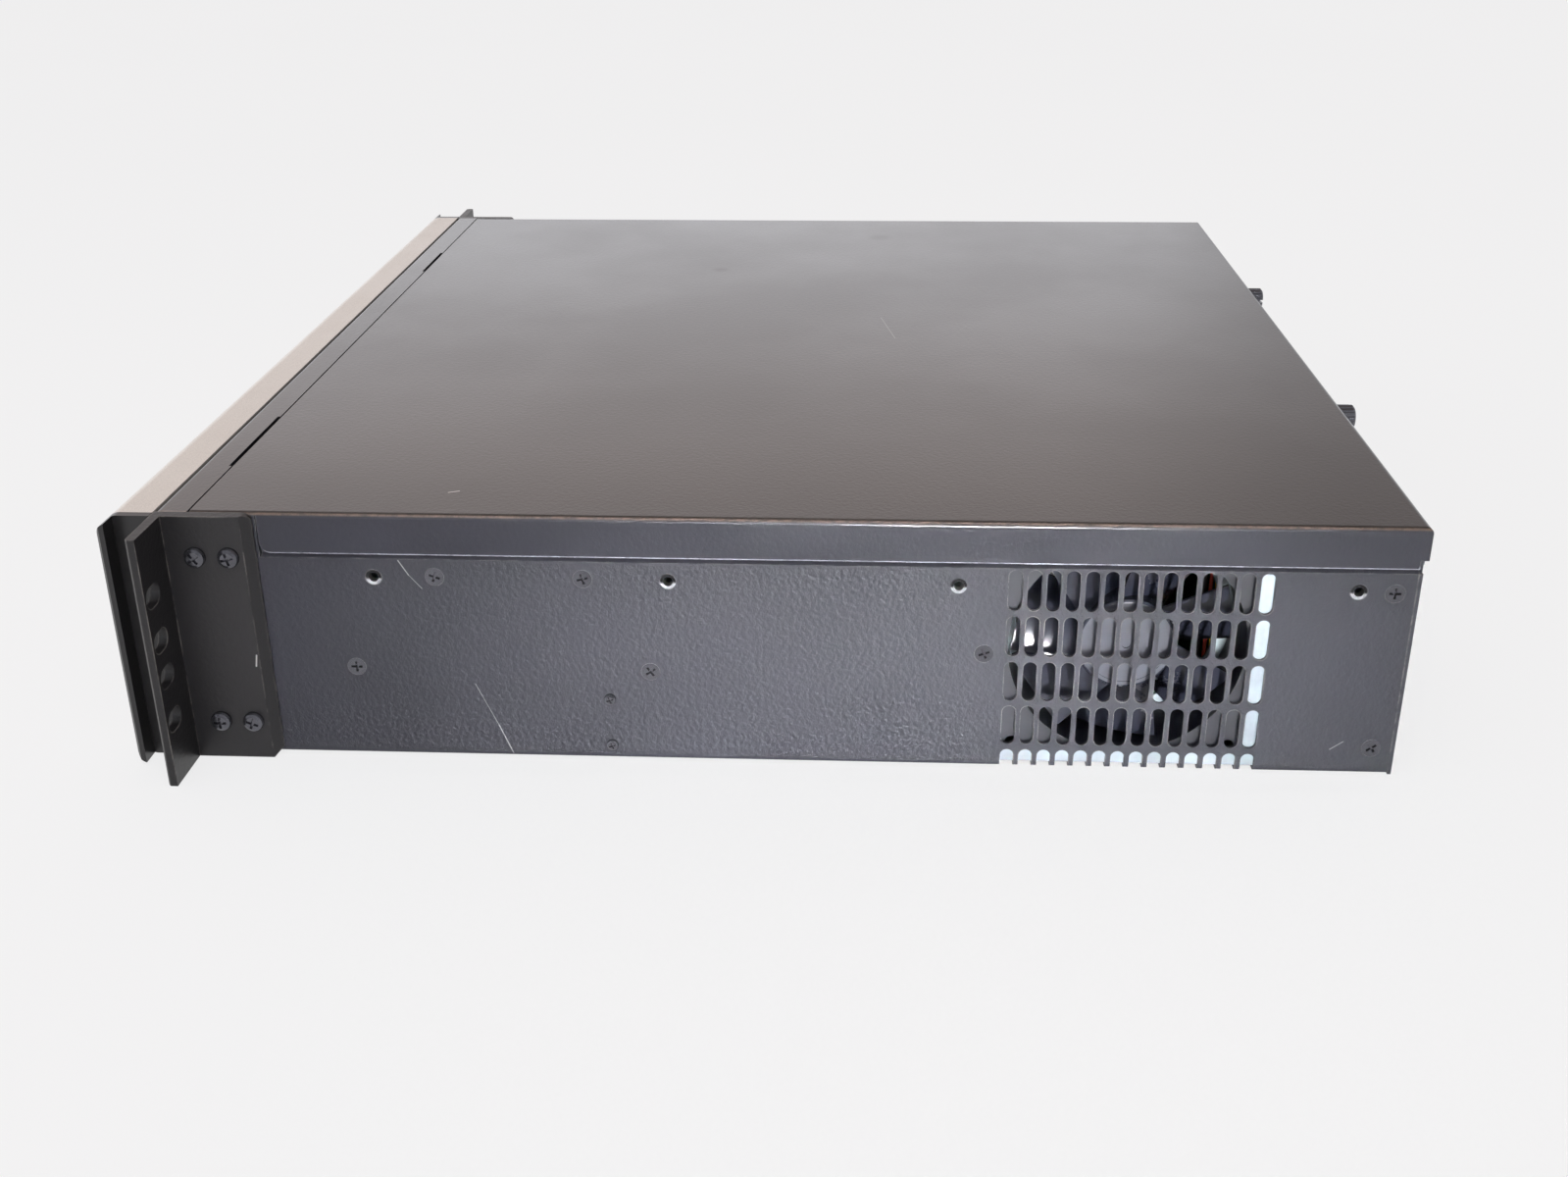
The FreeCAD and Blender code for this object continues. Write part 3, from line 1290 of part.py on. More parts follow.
def hard_drive():
    """A 3.5-inch drive in the lower bay: cast base with a stepped lid."""
    x0 = drive_x - drive_width / 2
    y0 = drive_back - drive_length
    z0 = drive_bottom
    body = block(x0, x0 + drive_width, y0, drive_back, z0, z0 + drive_height - drive_step)
    body = body.makeFillet(drive_edge, edges_along(body, (0, 0, 1), lambda m: True))
    inset = drive_lid_inset
    lid = block(x0 + inset, x0 + drive_width - inset, y0 + inset, drive_back - drive_lid_short,
                z0 + over, z0 + drive_height)
    lid = lid.makeFillet(drive_lid_corner, edges_along(lid, (0, 0, 1), lambda m: True))
    pocket = block(x0 + drive_socket_start, x0 + drive_socket_start + drive_socket_width,
                   drive_back - drive_socket_depth, drive_back + over,
                   z0 + drive_step, z0 + drive_step + drive_socket_height)
    return joined([body, lid]).cut(pocket)


def drive_rails():
    """Two pads under the drive that lift it off the cage floor."""
    x0 = drive_x - drive_width / 2 + pad_inset
    x1 = drive_x + drive_width / 2 - pad_inset - pad_width
    return group([block(x, x + pad_width, cage_start + pad_short, cage_end - pad_short,
                        cage_bottom + cage_sheet, drive_bottom) for x in (x0, x1)])


# ---- main board ----------------------------------------------------------------------------
def board_holes():
    """Places of the board's nine fixings."""
    columns = (board_left + board_hole_inset, board_left + board_hole_side_share * board_width,
               board_right - board_hole_inset)
    rows = (board_rear - board_hole_rear, board_rear - board_hole_back_share * board_length,
            board_front + board_hole_inset)
    return [(x, y) for x in columns for y in rows]


def motherboard():
    """The main circuit board with its nine fixing holes."""
    board = block(board_left, board_right, board_front, board_rear, board_bottom, board_top)
    holes = [rod((x, y, board_bottom - over), (0, 0, 1), board_hole_radius, board_thickness + 2 * over)
             for x, y in board_holes()]
    return without(board, holes)


def standoffs():
    """Hexagonal posts between the floor and the board, each with its screw."""
    posts = []
    head = board_thickness + standoff_head_height
    for x, y in board_holes():
        corners = [(x + standoff_radius * math.cos(math.radians(60 * i)),
                    y + standoff_radius * math.sin(math.radians(60 * i)), sheet) for i in range(6)]
        post = prism(corners, (0, 0, standoff_height))
        screw = turned([(0, 0), (screw_radius, 0), (screw_radius, board_thickness),
                        (standoff_head, board_thickness), (standoff_head_top, head), (0, head)],
                       (x, y, board_bottom), (0, 0, 1))
        posts.append(joined([post, screw]))
    return group(posts)


def cpu_socket():
    """Processor socket under the cooler."""
    w = socket_width / 2
    frame = block(cooler_x - w, cooler_x + w, cooler_y - w, cooler_y + w,
                  board_top, board_top + socket_height)
    return frame.makeFillet(socket_corner, edges_along(frame, (0, 0, 1), lambda m: True))


def cpu_cooler():
    """Finned heatsink on the processor, with four feet to the board."""
    w = cooler_width / 2
    z0 = board_top + socket_height
    base = block(cooler_x - w, cooler_x + w, cooler_y - w, cooler_y + w, z0, z0 + cooler_base)
    step = (cooler_width - fin_thickness) / (cooler_fins - 1)
    fins = []
    for i in range(cooler_fins):
        y = cooler_y - w + step * i
        fins.append(block(cooler_x - w, cooler_x + w, y, y + fin_thickness,
                          z0 + cooler_base - fin_sink, cooler_top))
    out = w - cooler_foot_inset
    feet = [rod((cooler_x + sx * out, cooler_y + sy * out, board_top), (0, 0, 1), cooler_foot_radius,
                socket_height + fin_sink) for sx in (-1, 1) for sy in (-1, 1)]
    return joined([base] + fins + feet)


def cpu_fan_frame():
    return stood(fan_frame(cooler_fan, cooler_fan_depth), *cooler_fan_place)


def cpu_fan_rotor():
    return stood(fan_rotor(cooler_fan, cooler_fan_depth), *cooler_fan_place)


def memory_places():
    """Left end and middle of each memory module."""
    x0 = board_right - memory_left - memory_length
    return [(x0, board_front + memory_behind + memory_pitch * i) for i in range(memory_count)]


def memory_slots():
    """Sockets with a raised latch block at each end."""
    shapes = []
    z0 = board_top
    w = memory_slot_width / 2
    groove = memory_card / 2 + memory_groove_gap
    for x, y in memory_places():
        x1 = x + memory_length
        body = block(x - memory_latch, x1 + memory_latch, y - w, y + w, z0, z0 + memory_slot_height)
        ends = ((x - memory_latch, x - memory_latch_gap), (x1 + memory_latch_gap, x1 + memory_latch))
        posts = [block(a, b, y - w, y + w, z0, z0 + memory_latch_height) for a, b in ends]
        gap = block(x - fit_gap, x1 + fit_gap, y - groove, y + groove, z0 + memory_sink,
                    z0 + memory_latch_height + over)
        shapes.append(joined([body] + posts).cut(gap))
    return group(shapes)


def memory_modules():
    """Memory cards: a thin board with a row of chips on each face."""
    shapes = []
    z0 = board_top + memory_sink
    pitch = memory_length / memory_chips
    wide = memory_chip_share * pitch
    for x, y in memory_places():
        card = block(x, x + memory_length, y - memory_card / 2, y + memory_card / 2, z0, z0 + memory_height)
        rows = [block(x + pitch * i + (pitch - wide) / 2, x + pitch * i + (pitch + wide) / 2,
                      y - memory_thickness / 2, y + memory_thickness / 2,
                      z0 + memory_chip_low, z0 + memory_chip_high) for i in range(memory_chips)]
        start = x + memory_notch_share * memory_length
        notch = block(start, start + memory_notch, y - memory_card, y + memory_card,
                      z0 - over, z0 + memory_chip_low / 3)
        shapes.append(joined([card] + rows).cut(notch))
    return group(shapes)


def expansion_slots():
    """Four card sockets in line with the rear openings, one long and three short."""
    shapes = []
    y1 = board_rear - card_slot_behind
    w = card_slot_width / 2
    groove = card_slot_groove / 2
    for i, x in enumerate(slot_centres):
        y0 = y1 - (card_slot_long if i == 0 else card_slot_short)
        slot = block(x - w, x + w, y0, y1, board_top, board_top + card_slot_height)
        gap = block(x - groove, x + groove, y0 + card_slot_wall, y1 - card_slot_wall,
                    board_top + card_slot_floor, board_top + card_slot_height + over)
        shapes.append(slot.cut(gap))
    return group(shapes)


def chipset_heatsink():
    """Small finned heatsink between the memory and the long card socket."""
    x0 = chipset_right - chipset_width
    y0 = chipset_rear - chipset_width
    base = block(x0, chipset_right, y0, chipset_rear, board_top, board_top + chipset_base)
    step = (chipset_width - chipset_fin) / (chipset_fins - 1)
    fins = []
    for i in range(chipset_fins):
        x = x0 + step * i
        fins.append(block(x, x + chipset_fin, y0, chipset_rear,
                          board_top + chipset_base - fin_sink, board_top + chipset_height))
    return joined([base] + fins)


def power_sockets():
    """The board's two supply sockets, its four data sockets and the side fan's header."""
    z0 = board_top
    x = board_left + power_socket_left
    y = board_front + power_socket_edge
    main = block(x, x + power_socket_width, y, y + power_socket_depth, z0, z0 + power_socket_height)
    y = board_rear - extra_socket_ahead
    extra = block(io_x1 - extra_socket_width, io_x1, y - power_socket_depth, y, z0, z0 + power_socket_height)
    w = data_socket_width / 2
    d = data_socket_depth / 2
    data = [block(data_socket_x - w, data_socket_x + w, data_socket_y - d + data_socket_pitch * i,
                  data_socket_y + d + data_socket_pitch * i, z0, z0 + data_socket_height)
            for i in range(data_sockets)]
    x, y = fan_header
    fan = block(x - header_width / 2, x + header_width / 2, y - header_length / 2, y + header_length / 2,
                z0, z0 + header_height)
    return group([main, extra, fan] + data)


def capacitors():
    """Round capacitors beside the processor and left of the memory."""
    x = cooler_x - cooler_width / 2 - capacitor_from_cooler
    first = cooler_y - capacitor_pitch * (capacitor_row - 1) / 2
    places = [(x, first + capacitor_pitch * i) for i in range(capacitor_row)]
    last = memory_places()[0][0] - memory_latch - capacitor_from_memory - capacitor_radius
    places += [(last - capacitor_front_pitch * i, board_front + capacitor_front_behind)
               for i in range(capacitor_front_row)]
    return group([rod((x, y, board_top), (0, 0, 1), capacitor_radius, capacitor_height) for x, y in places])


def chokes():
    """Square power coils in a row behind the processor."""
    y = cooler_y + cooler_width / 2 + choke_behind_cooler
    first = cooler_x - choke_pitch * (choke_count - 1) / 2 - choke_width / 2
    return group([block(first + choke_pitch * i, first + choke_pitch * i + choke_width, y, y + choke_depth,
                        board_top, board_top + choke_height) for i in range(choke_count)])


def board_battery():
    """Coin cell lying in its holder."""
    return rod((chipset_right + battery_right, board_front + battery_behind, board_top), (0, 0, 1),
               battery_radius, battery_height)


# ---- rear connectors -----------------------------------------------------------------------
def io_positions():
    """Left edges of the rear connectors: two network stacks from the right, then the others."""
    first = io_x1 - io_first - stack_width
    second = first - stack_pitch
    return {"network": (first, second), "video": second - video_left, "serial": second - serial_left,
            "mouse": second - mouse_left}


def network_stack(x):
    """One metal housing with a network socket over two USB sockets."""
    y1 = rear_face - io_recess
    z0 = board_top
    x1 = x + stack_width
    after = y1 + over
    body = block(x, x1, y1 - io_depth, y1, z0, z0 + stack_height)
    jack = block(x + jack_inset, x1 - jack_inset, y1 - jack_depth, after, z0 + jack_low, z0 + jack_high)
    ports = []
    tongues = []
    for i in range(2):
        low = z0 + port_low + port_pitch * i
        ports.append(block(x + port_inset, x1 - port_inset, y1 - port_depth, after, low, low + port_height))
        low = z0 + tongue_low + port_pitch * i
        tongues.append(block(x + tongue_inset, x1 - tongue_inset, y1 - port_depth - over / 2,
                             y1 - tongue_height, low, low + tongue_height))
    return joined([without(body, [jack] + ports)] + tongues)


def io_connectors():
    """Network over twin USB stacks, video and serial sockets and one round socket."""
    place = io_positions()
    y1 = rear_face - io_recess
    y0 = y1 - low_socket_depth
    z0 = board_top
    shapes = [network_stack(x) for x in place["network"]]
    for key in ("video", "serial"):
        x = place[key]
        base = block(x, x + dsub_width, y0, y1 - tongue_height, z0, z0 + dsub_height)
        start = y1 - tongue_height - fin_sink
        shell = prism([(x + a, start, z0 + dsub_middle + b) for a, b in dsub_shell], (0, dsub_reach, 0))
        shapes.append(joined([base, shell]))
    x = place["mouse"]
    body = block(x, x + mouse_width, y0, y1 - over, z0, z0 + mouse_height)
    hole = rod((x + mouse_width / 2, y1 - mouse_depth, z0 + mouse_height / 2), (0, 1, 0), mouse_radius,
               mouse_depth + over)
    shapes.append(body.cut(hole))
    return group(shapes)


def io_shield():
    """Thin plated plate in the rear opening, pierced for the connectors."""
    y0 = rear_face - panel_sheet
    g = io_frame + screw_gap
    rim = block(io_x0 - shield_rim, io_x1 + shield_rim, y0 - shield_sheet, y0, io_z0 - shield_rim_low,
                io_z1 + shield_rim)
    face = block(io_x0 + g, io_x1 - g, y0 - shield_sheet, y0 + shield_proud, io_z0 + g, io_z1 - g)
    shield = joined([rim, face])
    place = io_positions()
    before = y0 - 2 * over
    after = y0 + 2 * over
    z0 = board_top
    cutters = [block(x - fit_gap, x + stack_width + fit_gap, before, after,
                     z0 - seat, z0 + stack_height + fit_gap) for x in place["network"]]
    left, right, low, high = dsub_opening
    for key in ("video", "serial"):
        x = place[key]
        cutters.append(block(x + left, x + right, before, after, z0 + low, z0 + high))
    cutters.append(rod((place["mouse"] + mouse_width / 2, before, z0 + mouse_height / 2), (0, 1, 0),
                       mouse_opening, after - before))
    for i in range(audio_holes):
        x = io_x0 + audio_left + audio_pitch * i
        cutters.append(rod((x, before, io_z1 - audio_below_top), (0, 1, 0), audio_radius, after - before))
    return without(shield, cutters)


def slot_covers():
    """Blank brackets behind the expansion openings, each with a bent top tab."""
    shapes = []
    y1 = rear_face - panel_sheet
    y0 = y1 - slot_cover_sheet
    top = slot_cover_top
    w = slot_cover_width / 2
    for x in slot_centres:
        plate = block(x - w, x + w, y0, y1, slot_base, top)
        tab = block(x - w, x + w, y0 - slot_cover_tab, y1, top - slot_cover_sheet, top)
        hole = rod((x, y0 - slot_screw_ahead, top - slot_cover_sheet - over), (0, 0, 1),
                   screw_radius + screw_gap, slot_cover_sheet + 2 * over)
        shapes.append(joined([plate, tab]).cut(hole))
    return group(shapes)


def slot_shelf():
    """Rail under the bracket tabs, hung from the rear panel by a cheek at each end."""
    y1 = rear_face - panel_sheet - slot_cover_sheet
    top = slot_cover_top - slot_cover_sheet
    t = panel_sheet
    x0 = slot_centres[-1] - slot_pitch / 2 - t
    x1 = slot_centres[0] + slot_pitch / 2 + t
    front = y1 - slot_rail_gap - slot_rail_depth
    rail = block(x0, x1, front, y1 - slot_rail_gap, top - t, top)
    holes = [rod((x, y1 - slot_screw_ahead, top - t - over), (0, 0, 1), screw_radius + screw_gap,
                 t + 2 * over) for x in slot_centres]
    posts = [block(x, x + t, front, rear_face - panel_sheet, top - slot_post_height, top)
             for x in (x0, x1 - t)]
    return joined([without(rail, holes)] + posts)


def slot_screws():
    """One screw down through each bracket's tab."""
    y = rear_face - panel_sheet - slot_cover_sheet - slot_screw_ahead
    return group([pan_screw((x, y, slot_cover_top), (0, 0, 1), slot_screw_length, slot_screw_head)
                  for x in slot_centres])


# ---- power supply --------------------------------------------------------------------------
def supply_case():
    """Sheet steel box with a fan guard, inlet and switch openings at the rear and vents in front."""
    t = supply_sheet
    outer = block(supply_left, supply_right, supply_front, supply_rear, supply_bottom, supply_top)
    inner = block(supply_left + t, supply_right - t, supply_front + t, supply_rear - t,
                  supply_bottom + t, supply_top - t)
    case = outer.cut(inner)
    before = supply_rear - t - over
    after = supply_rear + over
    cutters = fan_guard(power_fan, power_guard_rings, (supply_fan_x, after, supply_middle), (0, 1, 0))
    w = inlet_width / 2 - inlet_opening_step
    h = inlet_height / 2 - inlet_opening_step
    cutters.append(block(inlet_x - w, inlet_x + w, before, after, inlet_z - h, inlet_z + h))
    w = rocker_width / 2 + over
    h = rocker_height / 2
    cutters.append(block(inlet_x - w, inlet_x + w, before, after, rocker_z - h, rocker_z + h))
    for x, z in supply_fixings():
        cutters.append(rod((x, before, z), (0, 1, 0), screw_radius + screw_gap, after - before))
    y0 = supply_front - over
    y1 = supply_front + t + over
    for i in range(supply_vents):
        x = supply_left + supply_vent_left + supply_vent_pitch * i
        cutters.append(block(x, x + supply_vent, y0, y1, supply_bottom + supply_vent_low,
                             supply_top - supply_vent_top))
    left, right, low, high = supply_grommet
    cutters.append(block(supply_right - left, supply_right - right, y0, y1,
                         supply_top - low, supply_top - high))
    return without(case, cutters)


def supply_fan_frame():
    return stood(fan_frame(power_fan, power_fan_depth), *power_fan_place)


def supply_fan_rotor():
    return stood(fan_rotor(power_fan, power_fan_depth), *power_fan_place)


def supply_screws():
    """Four screws from the rear panel into the supply."""
    return group([pan_screw((x, rear_face, z), (0, 1, 0), panel_sheet + supply_sheet, supply_screw_head,
                            screw_turn * i) for i, (x, z) in enumerate(supply_fixings())])


def inlet_socket():
    """Three-blade mains inlet: a flanged cup with two corners cut and its blades."""
    w = inlet_width / 2
    h = inlet_height / 2
    y0 = supply_rear - inlet_depth
    y1 = supply_rear + inlet_flange
    g = inlet_step
    t = inlet_wall
    flange = block(inlet_x - w, inlet_x + w, supply_rear, y1, inlet_z - h, inlet_z + h)
    cup = block(inlet_x - w + g, inlet_x + w - g, y0, y1, inlet_z - h + g, inlet_z + h - g)
    a = w - g - t
    b = h - g - t
    cut = inlet_corner
    outline = [(-a, -b), (a, -b), (a, b - cut), (a - cut, b), (cut - a, b), (-a, b - cut)]
    hollow = prism([(inlet_x + x, y0 + t, inlet_z + z) for x, z in outline], (0, inlet_depth + over, 0))
    blades = []
    for dx, dz in inlet_blades:
        x = inlet_x + dx - inlet_blade_width / 2
        z = inlet_z + dz - inlet_blade_height / 2
        blades.append(block(x, x + inlet_blade_width, y0 + t / 2, supply_rear - inlet_blade_recess,
                            z, z + inlet_blade_height))
    return joined([joined([flange, cup]).cut(hollow)] + blades)


def switch_body():
    """Frame of the mains switch, with a trough for the rocker and a blind hole for each pin."""
    w = rocker_width / 2 + switch_flange
    h = rocker_height / 2 + switch_flange_end
    y0 = supply_rear - switch_depth
    y1 = supply_rear + inlet_flange
    flange = block(inlet_x - w, inlet_x + w, supply_rear, y1, rocker_z - h, rocker_z + h)
    w -= switch_side
    room = rocker_width / 2 - switch_side
    body = block(inlet_x - w, inlet_x + w, y0, y1, rocker_z - h + switch_end, rocker_z + h - switch_end)
    h -= switch_room_end
    trough = block(inlet_x - room, inlet_x + room, y0 + switch_wall, y1 + over, rocker_z - h, rocker_z + h)
    reach = room + rocker_pin_reach
    pins = rod((inlet_x - reach, supply_rear - rocker_pivot_depth, rocker_z), (1, 0, 0),
               rocker_pin + shaft_clearance, 2 * reach)
    return without(joined([flange, body]), [trough, pins])


def mains_rocker():
    """Rocker with two sloping faces, pivoting on a pin across the switch."""
    w = rocker_width / 2 - switch_side - fit_gap
    h = rocker_height / 2 - rocker_end_gap
    y = supply_rear - rocker_pivot_depth
    upper = [(y + out, share * h) for out, share in rocker_profile]
    side = upper + [(y + rocker_dip, 0)] + [(a, -b) for a, b in reversed(upper)]
    rocker = prism([(inlet_x - w, a, rocker_z + b) for a, b in side], (2 * w, 0, 0))
    reach = rocker_width / 2 - switch_side + rocker_pin_reach - screw_gap
    rocker = joined([rocker, rod((inlet_x - reach, y, rocker_z), (1, 0, 0), rocker_pin, 2 * reach)])
    rocker.rotate(V(inlet_x, y, rocker_z), V(1, 0, 0), -rocker_tilt)
    return rocker


# ---- front controls ------------------------------------------------------------------------
def control_board():
    """Small circuit board behind the bezel that carries the switches, lamps and sockets."""
    y0 = control_board_front
    board = block(control_left, control_right, y0, y0 + control_board_thickness, control_bottom, control_top)
    inset = control_margin / 2
    posts = [rod((x, front_face + panel_sheet, z), (0, 1, 0), control_spacer, control_board_gap + fin_sink)
             for x in (control_left + inset, control_right - inset)
             for z in (control_bottom + inset, control_top - inset)]
    switches = [block(x - w, x + w, switch_face, y0 + fin_sink, control_z - w, control_z + w)
                for x, w in ((control_x, power_switch), (control_x + button_pitch, reset_switch))]
    return joined([board] + posts + switches)


def usb_sockets():
    """Two upright metal shells with their tongues, reaching through the bezel."""
    shapes = []
    back = control_board_front
    front = bezel_front - usb_proud
    w = usb_width / 2
    h = usb_height / 2
    t = usb_wall
    side, low, high = usb_tongue
    for x in usb_places():
        shell = block(x - w, x + w, front, back, usb_z - h, usb_z + h)
        room = block(x - w + t, x + w - t, front - over, back - usb_back, usb_z - h + t, usb_z + h - t)
        tongue = block(x - w + side, x + w - side, front + over, back - usb_back + over,
                       usb_z + low, usb_z + high)
        shapes.append(joined([shell.cut(room), tongue]))
    return group(shapes)


def push_button(x, radius, travel):
    """Round button with a flanged back, guided by the bezel's hole."""
    front = bezel_front - button_proud
    flange = bezel_wall + button_proud + button_flange_gap
    flange_back = flange + button_flange_thickness
    wide = radius + button_flange
    stem = radius * button_stem_share
    end = switch_face - travel - switch_slack - front
    profile = [(0, 0), (radius - button_edge, 0), (radius, button_edge), (radius, flange), (wide, flange),
               (wide, flange_back), (stem, flange_back), (stem, end), (0, end)]
    return turned(profile, (x, front, control_z), (0, 1, 0))


def power_button():
    return push_button(control_x, power_button_radius, power_button_travel)


def reset_button():
    return push_button(control_x + button_pitch, reset_button_radius, reset_button_travel)


def lamp_lenses():
    """Light pipes from the control board to the bezel's face."""
    length = control_board_front - bezel_front + lamp_proud
    return group([rod((x, bezel_front - lamp_proud, z), (0, 1, 0), lamp_radius, length)
                  for x, z in lamp_places()])


# ---- cables --------------------------------------------------------------------------------
def supply_harness():
    """Wrapped bundle from the power supply to the board's supply socket."""
    x0 = supply_right - harness_inset
    y0 = supply_front
    z0 = supply_top - harness_drop
    x1 = board_left + power_socket_left + power_socket_width / 2
    y1 = board_front + power_socket_edge + power_socket_depth / 2
    top = board_top + power_socket_height
    swing = 1.5 * harness_bend
    points = [(x0, y0 + 2 * supply_sheet, z0), (x0, y0 - harness_reach, z0),
              (x0 + swing, y0 - harness_reach - swing, z0),
              (x1 - swing, y1, top + harness_rise + harness_radius), (x1, y1, top + harness_rise),
              (x1, y1, top)]
    return tube_along(points, harness_radius, harness_bend)


def drive_lead():
    """Data cable from the drive's back, between drive cage and memory, to the board's left edge."""
    x0 = drive_x - drive_width / 2 + data_lead_from_edge
    y0 = drive_back - drive_socket_depth
    z0 = drive_bottom + drive_step + drive_socket_height / 2
    lane = board_front + data_lead_lane
    high = board_top + data_lead_height
    end = (data_socket_x, data_socket_y, board_top + data_socket_height)
    points = [(x0, y0, z0), (x0, lane, z0), (x0, lane, high), (data_socket_x, lane, high),
              (data_socket_x, data_socket_y, high), end]
    return tube_along(points, data_lead_radius, lead_corner)


def control_lead():
    """Cable from the front controls along the floor to the main board's front edge."""
    x0 = control_right - control_lead_inset
    y0 = control_board_front + control_board_thickness
    x1 = board_left + control_lead_inset
    low = sheet + control_lead_radius
    high = board_top + control_lead_height
    down = y0 + 2 * control_lead_step
    across = board_front - 4 * control_lead_step
    before = board_front - control_lead_step
    behind = board_front + control_lead_step
    points = [(x0, y0, usb_z), (x0, down, usb_z), (x0, down, low), (x0, across, low), (x1, across, low),
              (x1, before, low), (x1, before, high), (x1, behind, high), (x1, behind, board_top)]
    return tube_along(points, control_lead_radius, lead_corner)


def side_fan_leads():
    """Three thin wires along a strut of the side fan and down to its header on the board."""
    x0 = fan_face - case_fan_depth
    x1 = x0 - bracket_sheet - lead_radius - screw_gap
    along = math.sqrt(0.5)
    start = lead_start * fan_hub_share * case_fan * along
    reach = (bracket_opening - fan_strut) * along
    y = side_fan_centre
    z = side_fan_height
    header_x, header_y = fan_header
    end = board_top + header_height
    wires = []
    for i in (-1, 0, 1):
        d = lead_offset * i
        a = d * along
        crest = z + reach + lead_rise * (header_y - y - reach) + d
        points = [(x0, y + start - a, z + start + a), (x1, y + start - a, z + start + a),
                  (x1, y + reach - a, z + reach + a), (x1, header_y + d, crest),
                  (x1, header_y + d, end + 2 * lead_corner), (header_x, header_y + d, end + lead_corner),
                  (header_x, header_y + d, end)]
        wires.append(tube_along(points, lead_radius, lead_bend))
    return group(wires)


parts = {
    "base_tray": base_tray,
    "front_frame": front_frame,
    "rear_panel": rear_panel,
    "top_cover": top_cover,
    "thumbscrew_left": lambda: thumbscrew(-thumbscrew_spacing / 2, 0.0),
    "thumbscrew_right": lambda: thumbscrew(thumbscrew_spacing / 2, thumbscrew_turn),
    "rack_ear_right": rack_ear,
    "rack_ear_left": lambda: mirrored(rack_ear()),
    "bezel": bezel,
    "bezel_cap_right": bezel_cap,
    "bezel_cap_left": lambda: mirrored(bezel_cap()),
    "ear_screws": ear_screws,
    "side_screws": side_screws,
    "foot_screws": foot_screws,
    "slide_nuts": slide_nut_set,
    "fan_bracket": fan_bracket,
    "side_fan_frame": side_fan_frame,
    "side_fan_rotor": side_fan_rotor,
    "front_fan_frames": front_fan_frames,
    "front_fan_rotor_left": lambda: front_fan_rotor(0),
    "front_fan_rotor_right": lambda: front_fan_rotor(1),
    "front_fan_screws": fan_screws,
    "drive_cage": drive_cage,
    "drive_pads": drive_rails,
    "hard_drive": hard_drive,
    "motherboard": motherboard,
    "standoffs": standoffs,
    "cpu_socket": cpu_socket,
    "cpu_cooler": cpu_cooler,
    "cpu_fan_frame": cpu_fan_frame,
    "cpu_fan_rotor": cpu_fan_rotor,
    "memory_slots": memory_slots,
    "memory_modules": memory_modules,
    "expansion_slots": expansion_slots,
    "chipset_heatsink": chipset_heatsink,
    "board_sockets": power_sockets,
    "capacitors": capacitors,
    "chokes": chokes,
    "board_battery": board_battery,
    "io_connectors": io_connectors,
    "io_shield": io_shield,
    "slot_covers": slot_covers,
    "slot_shelf": slot_shelf,
    "slot_screws": slot_screws,
    "supply_case": supply_case,
    "supply_fan_frame": supply_fan_frame,
    "supply_fan_rotor": supply_fan_rotor,
    "supply_screws": supply_screws,
    "inlet_socket": inlet_socket,
    "switch_body": switch_body,
    "mains_rocker": mains_rocker,
    "control_board": control_board,
    "usb_sockets": usb_sockets,
    "power_button": power_button,
    "reset_button": reset_button,
    "lamp_lenses": lamp_lenses,
    "supply_harness": supply_harness,
    "side_fan_leads": side_fan_leads,
    "drive_lead": drive_lead,
    "control_lead": control_lead,
}

os.makedirs("parts", exist_ok=True)
for name, make in parts.items():
    shape = make()
    assert shape.isValid(), name
    print(name, len(shape.Solids), round(shape.Volume), shape.BoundBox)
    shape.exportStep("parts/" + name + ".step")
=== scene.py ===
import json
import math

import bpy
from mathutils import Matrix, Vector


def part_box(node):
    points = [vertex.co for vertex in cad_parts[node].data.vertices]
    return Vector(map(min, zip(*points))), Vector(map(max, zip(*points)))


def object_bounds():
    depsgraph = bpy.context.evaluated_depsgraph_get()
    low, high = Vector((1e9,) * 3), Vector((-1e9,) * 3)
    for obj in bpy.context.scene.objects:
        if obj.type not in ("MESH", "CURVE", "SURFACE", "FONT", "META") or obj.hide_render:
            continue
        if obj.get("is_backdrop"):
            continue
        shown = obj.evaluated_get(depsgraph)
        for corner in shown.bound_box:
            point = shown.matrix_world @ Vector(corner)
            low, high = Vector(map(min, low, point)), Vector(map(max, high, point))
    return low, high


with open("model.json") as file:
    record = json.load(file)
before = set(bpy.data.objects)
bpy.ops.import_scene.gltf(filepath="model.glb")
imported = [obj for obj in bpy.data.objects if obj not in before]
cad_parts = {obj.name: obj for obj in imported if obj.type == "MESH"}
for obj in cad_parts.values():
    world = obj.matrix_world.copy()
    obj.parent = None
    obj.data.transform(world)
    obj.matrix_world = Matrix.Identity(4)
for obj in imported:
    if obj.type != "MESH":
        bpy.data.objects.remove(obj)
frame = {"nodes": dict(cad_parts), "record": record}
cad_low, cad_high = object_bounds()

# Looks for the rack server.  Metres, Z up, X across the rack, Y from the front to the back.
# Everything that shows is the CAD frame itself; this script gives it its surfaces, the light
# and the camera.

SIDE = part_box("base_tray")[1].x          # outside face of the right wall
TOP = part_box("top_cover")[1].z
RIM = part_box("top_cover")[0].z           # lower edge of the cover's side flange
MM = 0.001


